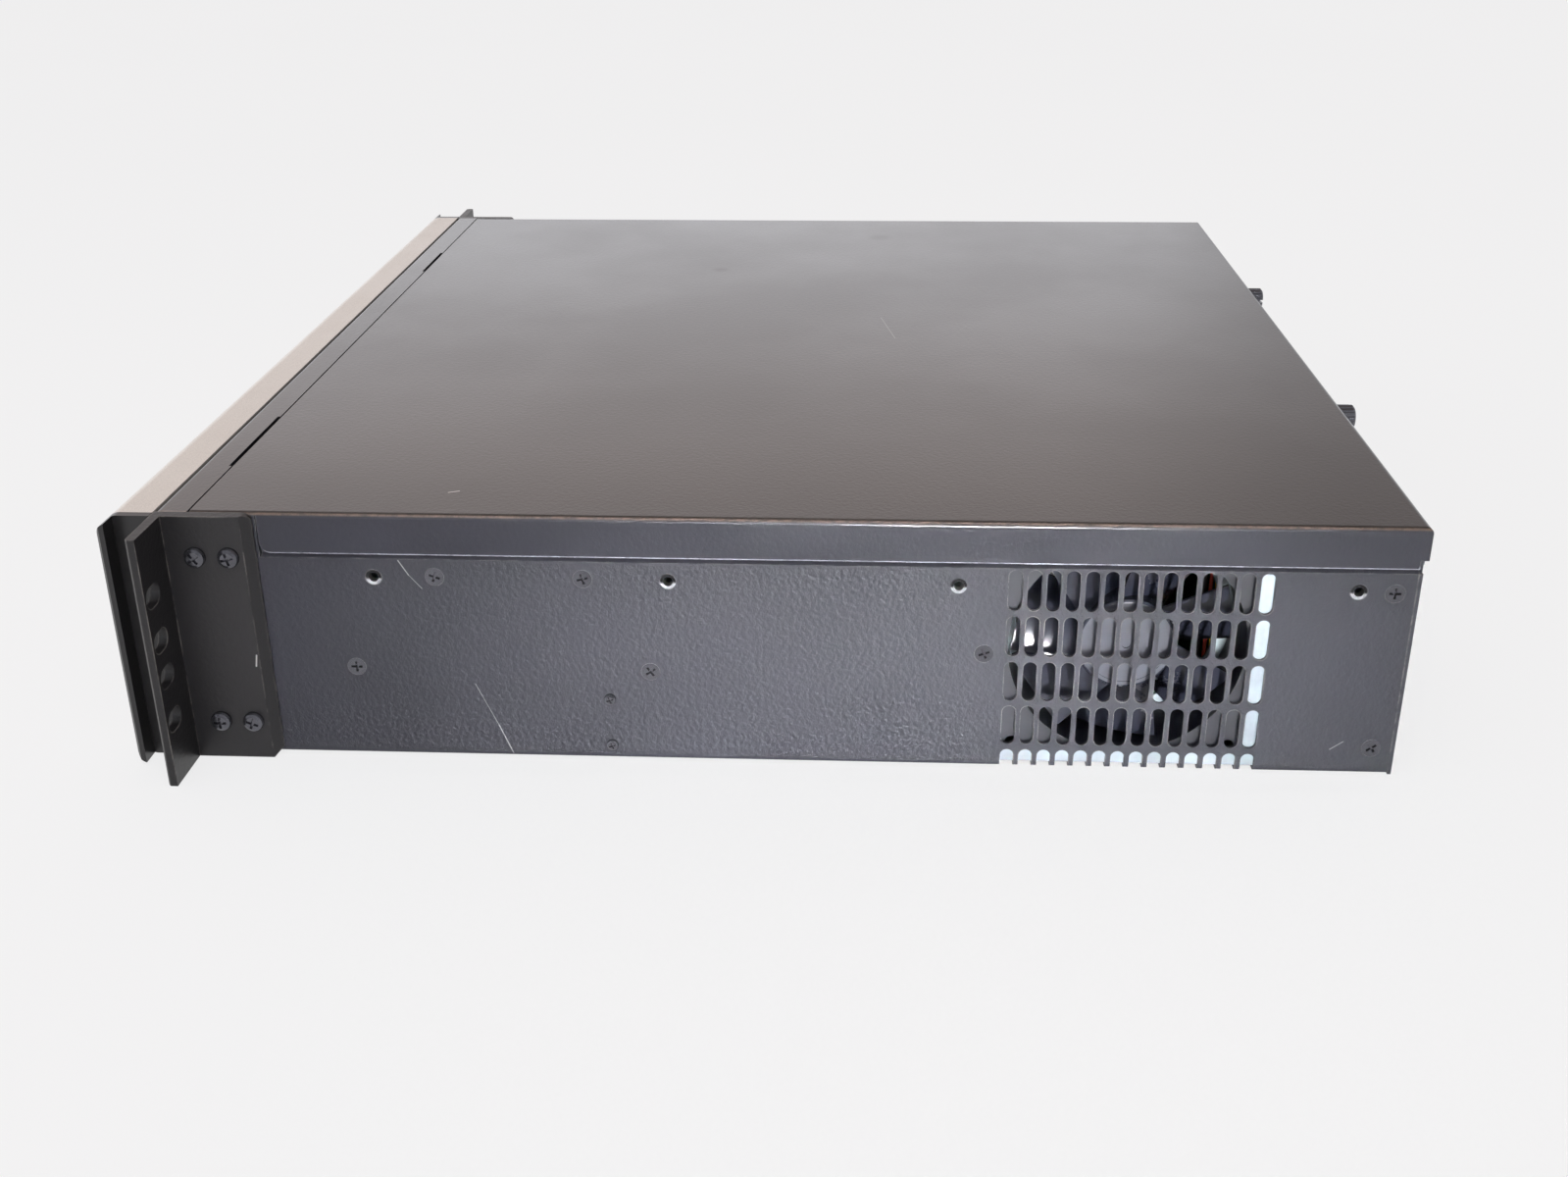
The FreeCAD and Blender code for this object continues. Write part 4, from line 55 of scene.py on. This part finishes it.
# ---- node helpers --------------------------------------------------------------------------
class Graph:
    """A material's node tree with short ways to add and join nodes."""

    def __init__(self, name):
        self.mat = bpy.data.materials.new(name)
        self.mat.use_nodes = True
        self.tree = self.mat.node_tree
        self.shader = self.tree.nodes["Principled BSDF"]
        self.output = self.tree.nodes["Material Output"]
        self.coords = self.tree.nodes.new("ShaderNodeTexCoord").outputs["Object"]
        self._parts = None

    def add(self, kind, **settings):
        node = self.tree.nodes.new(kind)
        for key, value in settings.items():
            setattr(node, key, value)
        return node

    def put(self, socket, value):
        if isinstance(value, bpy.types.NodeSocket):
            self.tree.links.new(value, socket)
        else:
            socket.default_value = value

    def math(self, operation, a, b=None, c=None, clamp=False):
        node = self.add("ShaderNodeMath", operation=operation, use_clamp=clamp)
        for i, value in enumerate((a, b, c)):
            if value is not None:
                self.put(node.inputs[i], value)
        return node.outputs[0]

    def axis(self, i):
        if self._parts is None:
            self._parts = self.add("ShaderNodeSeparateXYZ")
            self.put(self._parts.inputs[0], self.coords)
        return self._parts.outputs[i]

    def noise(self, scale, detail=3.0, rough=0.5, stretch=None):
        node = self.add("ShaderNodeTexNoise")
        vector = self.coords
        if stretch:
            mapping = self.add("ShaderNodeMapping")
            self.put(mapping.inputs["Vector"], vector)
            mapping.inputs["Scale"].default_value = stretch
            vector = mapping.outputs[0]
        self.put(node.inputs["Vector"], vector)
        node.inputs["Scale"].default_value = scale
        node.inputs["Detail"].default_value = detail
        node.inputs["Roughness"].default_value = rough
        return node.outputs["Fac"]

    def ramp(self, value, low, high, start=0.0, end=1.0):
        """Value mapped from low..high to start..end, with soft ends."""
        node = self.add("ShaderNodeMapRange", interpolation_type="SMOOTHSTEP")
        self.put(node.inputs["Value"], value)
        node.inputs["From Min"].default_value = low
        node.inputs["From Max"].default_value = high
        node.inputs["To Min"].default_value = start
        node.inputs["To Max"].default_value = end
        return node.outputs["Result"]

    def mix(self, factor, a, b):
        node = self.add("ShaderNodeMix", data_type="RGBA")
        self.put(node.inputs[0], factor)
        self.put(node.inputs[6], a if isinstance(a, bpy.types.NodeSocket) else (*a, 1.0))
        self.put(node.inputs[7], b if isinstance(b, bpy.types.NodeSocket) else (*b, 1.0))
        return node.outputs[2]

    def bump(self, height, strength, distance, normal=None):
        node = self.add("ShaderNodeBump")
        self.put(node.inputs["Height"], height)
        node.inputs["Strength"].default_value = strength
        node.inputs["Distance"].default_value = distance
        if normal is not None:
            self.put(node.inputs["Normal"], normal)
        return node.outputs["Normal"]

    def edge_mask(self, radius, low=0.02, high=0.2):
        """1 on sharp outer edges and folds, 0 on flat faces."""
        bevel = self.add("ShaderNodeBevel", samples=4)
        bevel.inputs["Radius"].default_value = radius
        plain = self.add("ShaderNodeNewGeometry")
        dot = self.add("ShaderNodeVectorMath", operation="DOT_PRODUCT")
        self.put(dot.inputs[0], bevel.outputs[0])
        self.put(dot.inputs[1], plain.outputs["Normal"])
        return self.ramp(self.math("SUBTRACT", 1.0, dot.outputs["Value"]), low, high)

    def reach(self, a, b):
        """Distance from the origin of a point of a plane."""
        squares = [self.math("MULTIPLY", side, side) for side in (a, b)]
        return self.math("SQRT", self.math("ADD", *squares))

    def spot(self, plane, middle, radius, ragged=0.5):
        """A soft uneven patch round a point of a plane."""
        u, v = (self.axis(i) for i in plane)
        du = self.math("SUBTRACT", u, middle[0])
        dv = self.math("SUBTRACT", v, middle[1])
        far = self.reach(du, dv)
        far = self.math("MULTIPLY_ADD", self.noise(3.0 / radius, 4.0, 0.7), ragged * radius, far)
        return self.ramp(far, 0.4 * radius, 1.2 * radius, 1.0, 0.0)

    def mark(self, plane, start, end, width):
        """A thin straight scratch between two points of a plane, given by its two axes."""
        u, v = (self.axis(i) for i in plane)
        run = (end[0] - start[0], end[1] - start[1])
        length2 = run[0] ** 2 + run[1] ** 2
        du = self.math("SUBTRACT", u, start[0])
        dv = self.math("SUBTRACT", v, start[1])
        along = self.math("ADD", self.math("MULTIPLY", du, run[0] / length2),
                          self.math("MULTIPLY", dv, run[1] / length2), clamp=True)
        pu = self.math("SUBTRACT", du, self.math("MULTIPLY", along, run[0]))
        pv = self.math("SUBTRACT", dv, self.math("MULTIPLY", along, run[1]))
        return self.ramp(self.reach(pu, pv), 0.3 * width, width, 1.0, 0.0)

    def finish(self, color=None, roughness=None, metallic=None, normal=None, **others):
        sockets = {"Base Color": color, "Roughness": roughness, "Metallic": metallic, "Normal": normal}
        sockets.update({key.replace("_", " "): value for key, value in others.items()})
        for name, value in sockets.items():
            if value is None:
                continue
            if name in ("Base Color", "Emission Color") and not isinstance(value, bpy.types.NodeSocket):
                value = (*value, 1.0)
            self.put(self.shader.inputs[name], value)
        return self.mat


# ---- surfaces ------------------------------------------------------------------------------
WORN_AND_HIGHLIT_EDGE = (0.36, 0.33, 0.30)                # paint worn through on an edge, and a painted highlight along edges and folds
# colour of the painted glint along the cover's lower edge
PAINTED_GLINT = (0.84, 0.86, 0.95)
# colour of the painted highlight along the top fold
PAINTED_FOLD_HIGHLIGHT = (0.26, 0.17, 0.12)
SCRATCH = (0.55, 0.54, 0.52)
SMUDGE = (0.08, 0.075, 0.07)
LIP_BAND = 1.5 * MM                      # height of the painted glint along the lower edge
FOLD_START, FOLD_FULL = 1.2 * MM, 0.5 * MM   # how near the two faces of a fold its painted brownish highlight lies
FACE_START, FACE_FULL = 3 * MM, 2 * MM   # how near the right wall's face its scratches show
X_Y, Y_Z = (0, 1), (1, 2)                # planes, by their axes


def painted_lip_glint_and_fold_highlight(g, color, edge, lip):
    """Painted glint along the lower edge at height lip, and a painted brownish highlight along the fold at
    the top.
    """
    low = g.math("MULTIPLY", edge, g.ramp(g.axis(2), lip, lip + LIP_BAND, 1.0, 0.0))
    low = g.math("MULTIPLY", low, g.ramp(g.noise(240.0, 4.0, 0.6), 0.30, 0.55, 0.45, 1.0))
    # painted glint along the lower edge
    color = g.mix(low, color, PAINTED_GLINT)
    fold = g.math("MULTIPLY", g.ramp(g.axis(2), TOP - FOLD_START, TOP - FOLD_FULL),
                  g.ramp(g.axis(0), SIDE - FOLD_START, SIDE - FOLD_FULL))
    fold = g.math("MULTIPLY", fold, g.ramp(g.noise(300.0, 4.0, 0.7), 0.35, 0.65, 0.25, 0.6))
    # painted brownish highlight along the top fold
    return g.mix(fold, color, PAINTED_FOLD_HIGHLIGHT)


def powder_coat(name, base, roughness, grain=1.0, coat=0.0, wear_and_highlight=0.5, specular=0.5,
                marks=(), rubs=(), lip=None):
    """Stippled powder coat with edges and folds lightened by worn paint and a painted highlight,
    scratches, dull smudges and a painted glint along the lower lip.

    marks: plane, start, end, width and strength of each scratch; those in the plane of Y and Z
    show on the right wall only.  rubs: plane, middle and radius of each smudge.  lip: height of
    the lower edge that gets a painted glint; the upper fold over the right wall then gets a
    painted brownish highlight as well.
    """
    g = Graph(name)
    stipple = g.noise(580.0, 3.0, 0.55)
    pits = g.noise(1300.0, 2.0, 0.6)
    cloud = g.noise(9.0, 4.0, 0.55)
    lighter = tuple(min(1.0, 1.30 * c + 0.003) for c in base)
    color = g.mix(g.ramp(cloud, 0.35, 0.7), base, lighter)
    patch = g.ramp(g.noise(70.0, 5.0, 0.7), 0.40, 0.62)
    edge = g.edge_mask(0.8 * MM)
    edge_lightening = g.math("MULTIPLY", g.math("MULTIPLY", edge, patch), wear_and_highlight)
    # edges lightened in patches: partly worn paint, partly a painted highlight
    color = g.mix(edge_lightening, color, WORN_AND_HIGHLIT_EDGE)
    shine = g.math("MULTIPLY_ADD", g.ramp(cloud, 0.3, 0.7), 0.08, roughness)
    if lip is not None:
        color = painted_lip_glint_and_fold_highlight(g, color, edge, lip)
    for plane, start, end, width, strength in marks:
        line = g.math("MULTIPLY", g.mark(plane, start, end, width), strength)
        if plane == Y_Z:
            line = g.math("MULTIPLY", line, g.ramp(g.axis(0), SIDE - FACE_START, SIDE - FACE_FULL))
        color = g.mix(line, color, SCRATCH)
    for plane, middle, radius in rubs:
        smear = g.spot(plane, middle, radius)
        color = g.mix(g.math("MULTIPLY", smear, 0.12), color, SMUDGE)
        shine = g.math("MULTIPLY_ADD", smear, 0.06, shine)
    height = g.math("ADD", stipple, g.math("MULTIPLY", pits, 0.35))
    return g.finish(color, shine, 0.0, g.bump(height, 0.8, grain * 0.42 * MM), Coat_Weight=coat,
                    Coat_Roughness=0.16, Specular_IOR_Level=specular)


def metal(name, color, roughness, streak=None, metallic=1.0, grain=0.25, stain=None):
    """Plated or bare metal with fine grain, faint streaks and uneven shine."""
    g = Graph(name)
    cloud = g.noise(35.0, 4.0, 0.6)
    fine = g.noise(900.0, 3.0, 0.6, streak)
    dark = tuple(0.72 * c for c in color)
    tone = g.mix(g.ramp(cloud, 0.3, 0.75), color, dark)
    if stain:
        tone = g.mix(g.math("MULTIPLY", g.ramp(g.noise(120.0, 5.0, 0.7), 0.5, 0.72), 0.35), tone, stain)
    shine = g.math("MULTIPLY_ADD", fine, grain, roughness)
    return g.finish(tone, shine, metallic, g.bump(fine, 0.15, 0.00004))


def plastic(name, color, roughness, metallic=0.0, grain=0.12, dust=0.25):
    """Moulded plastic with a fine grain and a little dust in its hollows."""
    g = Graph(name)
    fine = g.noise(1700.0, 2.0, 0.55)
    dirt = g.ramp(g.noise(45.0, 5.0, 0.65), 0.5, 0.8)
    grey = tuple(0.75 * c + 0.06 for c in color)
    tone = g.mix(g.math("MULTIPLY", dirt, dust), color, grey)
    shine = g.math("MULTIPLY_ADD", dirt, grain, roughness)
    return g.finish(tone, shine, metallic, g.bump(fine, 0.2, 0.00005))


def lacquer(name, color, roughness):
    """Silver lacquer with fine metal flakes, slightly soiled along the edges."""
    g = Graph(name)
    flakes = g.noise(3200.0, 1.0, 0.5)
    soil = g.math("MULTIPLY", g.edge_mask(0.7 * MM), g.ramp(g.noise(60.0, 5.0, 0.7), 0.4, 0.65))
    tone = g.mix(g.ramp(flakes, 0.35, 0.65), tuple(0.86 * c for c in color), color)
    tone = g.mix(g.math("MULTIPLY", soil, 0.6), tone, (0.26, 0.23, 0.20))
    shine = g.math("MULTIPLY_ADD", g.noise(40.0, 4.0), 0.12, roughness)
    return g.finish(tone, shine, 0.45, g.bump(flakes, 0.12, 0.00003))


def board(name):
    """Green solder mask with paler copper runs under it and bright pads."""
    g = Graph(name)
    weave = g.add("ShaderNodeTexVoronoi", feature="DISTANCE_TO_EDGE")
    g.put(weave.inputs["Vector"], g.coords)
    weave.inputs["Scale"].default_value = 260.0
    runs = g.ramp(weave.outputs["Distance"], 0.03, 0.09, 1.0, 0.0)
    tone = g.mix(g.ramp(g.noise(30.0, 3.0), 0.35, 0.7), (0.012, 0.085, 0.035), (0.02, 0.13, 0.055))
    tone = g.mix(g.math("MULTIPLY", runs, 0.5), tone, (0.05, 0.24, 0.10))
    pads = g.ramp(g.noise(700.0, 1.0), 0.73, 0.76)
    tone = g.mix(g.math("MULTIPLY", pads, 0.8), tone, (0.6, 0.58, 0.5))
    return g.finish(tone, 0.32, 0.0, g.bump(runs, 0.25, 0.00004))


def nut_rim(name, height):
    """Rim of a pressed nut: dark, with a painted highlight below the given height."""
    g = Graph(name)
    low = g.ramp(g.axis(2), height - 0.9 * MM, height - 0.1 * MM, 1.0, 0.0)
    low = g.math("MULTIPLY", low, g.ramp(g.noise(500.0), 0.3, 0.6, 0.5, 1.0))
    # painted highlight: the rim is lightened below the given height
    tone = g.mix(low, (0.018, 0.018, 0.020), (0.80, 0.82, 0.86))
    return g.finish(tone, 0.22, 0.7, g.bump(g.noise(900.0), 0.1, 0.00003))


# Scratches and smudges, in metres on their planes.
side_marks = (
    (Y_Z, (0.0746, 0.0720), (0.0775, 0.0670), 0.26 * MM, 0.45),
    (Y_Z, (0.0775, 0.0670), (0.0815, 0.0622), 0.18 * MM, 0.30),
    (Y_Z, (0.0962, 0.0275), (0.1030, 0.0120), 0.16 * MM, 0.28),
    (Y_Z, (0.1030, 0.0120), (0.1072, 0.0012), 0.22 * MM, 0.45),
    (Y_Z, (0.3790, 0.0090), (0.3830, 0.0120), 0.25 * MM, 0.25),
)
lid_marks = (
    (X_Y, (0.1952, 0.0880), (0.1938, 0.0912), 0.40 * MM, 0.9),
    (X_Y, (-0.020, 0.230), (0.012, 0.236), 0.30 * MM, 0.18),
)
ear_marks = (
    (Y_Z, (0.0249, 0.0387), (0.0243, 0.0347), 0.35 * MM, 0.9),
)
lid_rubs = (
    (X_Y, (-0.104, 0.152), 0.006),
    (X_Y, (-0.174, 0.229), 0.009),
)
made = {
    "black_coat": powder_coat("black_coat", (0.009, 0.0095, 0.0165), 0.46, 1.0, 0.0, 0.4, 0.5,
                              side_marks),
    # lip=RIM: a painted glint along the cover's lower edge and a painted highlight along its top fold
    "lid_coat": powder_coat("lid_coat", (0.012, 0.011, 0.012), 0.28, 0.25, 0.55, 0.35, 0.4,
                            lid_marks, lid_rubs, RIM),
    # the cover's side flange: the lid's coat with a darker base colour, a painted shade, and the same
    # painted glint at the lower edge
    "flange_painted_shade_coat": powder_coat("flange_painted_shade_coat", (0.006, 0.0065, 0.014), 0.30, 0.5, 0.4, 0.35, 0.38,
                               lip=RIM),
    "ear_coat": powder_coat("ear_coat", (0.011, 0.010, 0.011), 0.32, 0.35, 0.0, 0.6, 0.38, ear_marks),
    "silver_plastic": lacquer("silver_plastic", (0.82, 0.78, 0.72), 0.32),
    "cap_black": plastic("cap_black", (0.016, 0.015, 0.016), 0.30),
    "black_screw": metal("black_screw", (0.12, 0.12, 0.135), 0.13, None, 0.85, 0.12),
    "zinc": metal("zinc", (0.36, 0.41, 0.45), 0.30, (1.0, 1.0, 0.08), 1.0, 0.25, (0.34, 0.34, 0.33)),
    "nickel": metal("nickel", (0.68, 0.67, 0.64), 0.20),
    "fan_plastic": plastic("fan_plastic", (0.008, 0.009, 0.015), 0.42, dust=0.10),
    "rotor_plastic": plastic("rotor_plastic", (0.020, 0.022, 0.033), 0.24, dust=0.15),
    "cast_alloy": metal("cast_alloy", (0.30, 0.31, 0.33), 0.42, None, 0.8, 0.25),
    "heatsink_alloy": metal("heatsink_alloy", (0.62, 0.63, 0.65), 0.34, (1.0, 0.06, 1.0)),
    "board_green": board("board_green"),
    "socket_cream": plastic("socket_cream", (0.66, 0.63, 0.55), 0.40),
    "socket_black": plastic("socket_black", (0.020, 0.020, 0.022), 0.38),
    "part_dark": plastic("part_dark", (0.045, 0.045, 0.050), 0.45),
    "can_metal": metal("can_metal", (0.10, 0.12, 0.22), 0.30, None, 0.3, 0.2),
    "port_metal": metal("port_metal", (0.66, 0.66, 0.66), 0.26),
    "button_plastic": plastic("button_plastic", (0.45, 0.43, 0.40), 0.30, 0.2),
    "lens_green": plastic("lens_green", (0.12, 0.38, 0.16), 0.18),
    "cable_black": plastic("cable_black", (0.016, 0.016, 0.017), 0.55),
    "wire_mixed": plastic("wire_mixed", (0.52, 0.05, 0.03), 0.38),
    "cable_red": plastic("cable_red", (0.33, 0.02, 0.02), 0.42),
}

slot_of = {part["node"]: part["material_slot"] for part in frame["record"]["subparts"]}
for node, obj in frame["nodes"].items():
    obj.data.materials.clear()
    obj.data.materials.append(made[slot_of[node]])


# ---- second colours on single pieces -------------------------------------------------------
def paint(node, material, test):
    """Gives another material to the faces of a node that pass a test of middle and normal."""
    mesh = frame["nodes"][node].data
    mesh.materials.append(material)
    index = len(mesh.materials) - 1
    for face in mesh.polygons:
        if test(face.center, face.normal):
            face.material_index = index


def paint_solids(node, materials, order):
    """Gives each separate solid of a node its own material, the solids sorted by order(middle)."""
    mesh = frame["nodes"][node].data
    owner = {}

    def root(key):
        while owner[key] != key:
            key = owner[key]
        return key

    places = [tuple(round(c, 6) for c in v.co) for v in mesh.vertices]
    for place in places:
        owner[place] = place
    for face in mesh.polygons:
        first = root(places[face.vertices[0]])
        for i in face.vertices[1:]:
            owner[root(places[i])] = first
    faces = {}
    for face in mesh.polygons:
        faces.setdefault(root(places[face.vertices[0]]), []).append(face)
    middles = {key: sum((f.center for f in group), Vector()) / len(group) for key, group in faces.items()}
    ranked = sorted(faces, key=lambda key: order(middles[key]))
    start = len(mesh.materials)
    for material in materials:
        mesh.materials.append(material)
    for i, key in enumerate(ranked):
        for face in faces[key]:
            face.material_index = start + i % len(materials)


nut_low, nut_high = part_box("slide_nuts")
# dark nut rims with a painted highlight on their lower part
nut_dark_with_painted_glint = nut_rim("nut_dark_with_painted_glint", (nut_low.z + nut_high.z) / 2)
hub_grey = plastic("hub_grey", (0.048, 0.051, 0.066), 0.34, 0.0, 0.10, 0.15)
can_top = metal("can_top", (0.62, 0.63, 0.66), 0.24)
contact_gold = metal("contact_gold", (0.75, 0.52, 0.22), 0.22)
wire_yellow = plastic("wire_yellow", (0.60, 0.42, 0.03), 0.38)


def paint_hub(node, axis, share=0.42):
    """Greys the flat faces of a rotor's hub, which takes that share of the rotor's width."""
    low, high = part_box(node)
    middle = (low + high) / 2
    others = [i for i in range(3) if i != axis]
    radius = share * (high - low)[others[0]] / 2
    paint(node, hub_grey, lambda at, facing:
          abs(facing[axis]) > 0.95 and math.hypot(*(at[i] - middle[i] for i in others)) < radius)


for node, axis in (("side_fan_rotor", 0), ("front_fan_rotor_left", 1), ("front_fan_rotor_right", 1),
                   ("cpu_fan_rotor", 2), ("supply_fan_rotor", 1)):
    paint_hub(node, axis)

paint("slide_nuts", nut_dark_with_painted_glint, lambda at, facing: abs(facing.x) > 0.95)
# the cover's faces turned to the right take the darker copy of its coat, a painted shade
paint("top_cover", made["flange_painted_shade_coat"], lambda at, facing: facing.x > 0.9)
paint("front_frame", made["lid_coat"], lambda at, facing: facing.z > 0.9 and at.z > TOP - 5 * MM)
paint("capacitors", can_top, lambda at, facing: facing.z > 0.9)
paint_solids("side_fan_leads", [made["cable_black"], made["wire_mixed"], wire_yellow],
             lambda at: at.z - at.y)

card_half = 0.7 * MM               # half a memory card's thickness, with a little to spare
card_inset = 1.8 * MM              # from the outside of its chips to the middle of the card
contact_height = 4.0 * MM
low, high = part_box("memory_modules")
rows = [low.y + card_inset, high.y - card_inset]
paint("memory_modules", made["part_dark"], lambda at, facing: min(abs(at.y - y) for y in rows) > card_half)
paint("memory_modules", contact_gold,
      lambda at, facing: at.z < low.z + contact_height and abs(facing.y) > 0.9)


# ---- stage ---------------------------------------------------------------------------------
def floor():
    """Pale table; what the camera sees of it is lifted towards white and keeps the shadow."""
    mesh = bpy.data.meshes.new("floor")
    w = 12.0
    z = cad_low.z - 0.0002
    mesh.from_pydata([(-w, -w, z), (w, -w, z), (w, w, z), (-w, w, z)], [], [(0, 1, 2, 3)])
    obj = bpy.data.objects.new("floor", mesh)
    bpy.context.scene.collection.objects.link(obj)
    g = Graph("floor_paint")
    tone = g.mix(g.ramp(g.noise(1.5, 3.0), 0.3, 0.7), (0.775, 0.770, 0.765), (0.80, 0.795, 0.79))
    mat = g.finish(tone, 0.7, 0.0, g.bump(g.noise(300.0), 0.05, 0.0002), Specular_IOR_Level=0.0)
    path = g.add("ShaderNodeLightPath")
    seen = g.math("ADD", path.outputs["Is Camera Ray"], path.outputs["Is Glossy Ray"], clamp=True)
    seen = g.math("ADD", seen, path.outputs["Is Transmission Ray"], clamp=True)
    glow = g.add("ShaderNodeEmission")
    glow.inputs["Color"].default_value = (0.97, 0.97, 0.975, 1.0)
    blend = g.add("ShaderNodeMixShader")
    g.put(blend.inputs[0], g.math("MULTIPLY", seen, 0.8))
    g.put(blend.inputs[1], g.shader.outputs[0])
    g.put(blend.inputs[2], glow.outputs[0])
    g.put(g.output.inputs["Surface"], blend.outputs[0])
    mesh.materials.append(mat)
    obj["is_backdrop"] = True


def soft_light(name, place, target, width, height, watts, color=(1.0, 1.0, 1.0), spread=180.0):
    data = bpy.data.lights.new(name, "AREA")
    data.shape = "RECTANGLE"
    data.size = width
    data.size_y = height
    data.energy = watts
    data.color = color
    data.spread = math.radians(spread)
    obj = bpy.data.objects.new(name, data)
    obj.location = place
    obj.rotation_mode = "QUATERNION"
    obj.rotation_quaternion = (Vector(target) - Vector(place)).to_track_quat("-Z", "Y")
    bpy.context.scene.collection.objects.link(obj)


def surroundings():
    """Pale room: bright and cool low down, dimmer overhead and behind, warmer far up on the left."""
    world = bpy.data.worlds.new("room")
    bpy.context.scene.world = world
    world.use_nodes = True
    tree = world.node_tree
    tree.nodes.clear()

    def add(kind, **settings):
        node = tree.nodes.new(kind)
        for key, value in settings.items():
            setattr(node, key, value)
        return node

    def ramp(value, low, high, start, end):
        node = add("ShaderNodeMapRange", interpolation_type="SMOOTHSTEP")
        tree.links.new(value, node.inputs["Value"])
        for name, number in (("From Min", low), ("From Max", high), ("To Min", start), ("To Max", end)):
            node.inputs[name].default_value = number
        return node.outputs["Result"]

    out = add("ShaderNodeOutputWorld")
    lit = add("ShaderNodeBackground")
    seen = add("ShaderNodeBackground")
    choose = add("ShaderNodeMixShader")
    path = add("ShaderNodeLightPath")
    coords = add("ShaderNodeTexCoord")
    parts = add("ShaderNodeSeparateXYZ")
    tint = add("ShaderNodeMix", data_type="RGBA")
    strength = add("ShaderNodeMath", operation="MULTIPLY")
    tree.links.new(coords.outputs["Generated"], parts.inputs[0])
    warm = add("ShaderNodeMath", operation="MULTIPLY")
    tree.links.new(ramp(parts.outputs[2], 0.18, 0.45, 1.45, 0.60), strength.inputs[0])
    tree.links.new(ramp(parts.outputs[1], 0.11, 0.28, 1.0, 0.55), strength.inputs[1])
    tree.links.new(ramp(parts.outputs[2], 0.24, 0.36, 0.0, 1.0), warm.inputs[0])
    tree.links.new(ramp(parts.outputs[0], -0.2, 0.2, 1.0, 0.0), warm.inputs[1])
    tree.links.new(warm.outputs[0], tint.inputs[0])
    tint.inputs[6].default_value = (0.94, 0.955, 1.0, 1.0)
    tint.inputs[7].default_value = (1.0, 0.82, 0.76, 1.0)
    tree.links.new(tint.outputs[2], lit.inputs["Color"])
    tree.links.new(strength.outputs[0], lit.inputs["Strength"])
    seen.inputs["Color"].default_value = (0.86, 0.86, 0.865, 1.0)
    tree.links.new(path.outputs["Is Camera Ray"], choose.inputs[0])
    tree.links.new(lit.outputs[0], choose.inputs[1])
    tree.links.new(seen.outputs[0], choose.inputs[2])
    tree.links.new(choose.outputs[0], out.inputs["Surface"])


def camera():
    """Standing at the right side, looking down across the case."""
    eye = Vector((0.7091, 0.2270, 0.2914))
    turn, dip, tilt = (math.radians(a) for a in (3.193, 24.661, -0.440))
    ahead = Vector((-math.cos(dip) * math.cos(turn), -math.cos(dip) * math.sin(turn), -math.sin(dip)))
    right = ahead.cross(Vector((0, 0, 1))).normalized()
    up = right.cross(ahead)
    right, up = right * math.cos(tilt) + up * math.sin(tilt), up * math.cos(tilt) - right * math.sin(tilt)
    data = bpy.data.cameras.new("camera")
    data.sensor_width = 36.0
    data.lens = 38.93
    data.clip_start = 0.02
    obj = bpy.data.objects.new("camera", data)
    turned = Matrix((right, up, -ahead)).transposed()
    obj.matrix_world = Matrix.Translation(eye) @ turned.to_4x4()
    bpy.context.scene.collection.objects.link(obj)
    bpy.context.scene.camera = obj


floor()
soft_light("key", (0.95, 0.20, 1.15), (0.15, 0.22, 0.03), 1.1, 0.8, 5.0)
soft_light("low_fill", (2.20, 0.38, 0.05), (SIDE, 0.24, 0.02), 0.30, 0.06, 0.42, (0.97, 0.96, 1.0), 9.0)
surroundings()
camera()
bpy.context.scene.view_settings.view_transform = "Standard"

low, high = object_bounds()
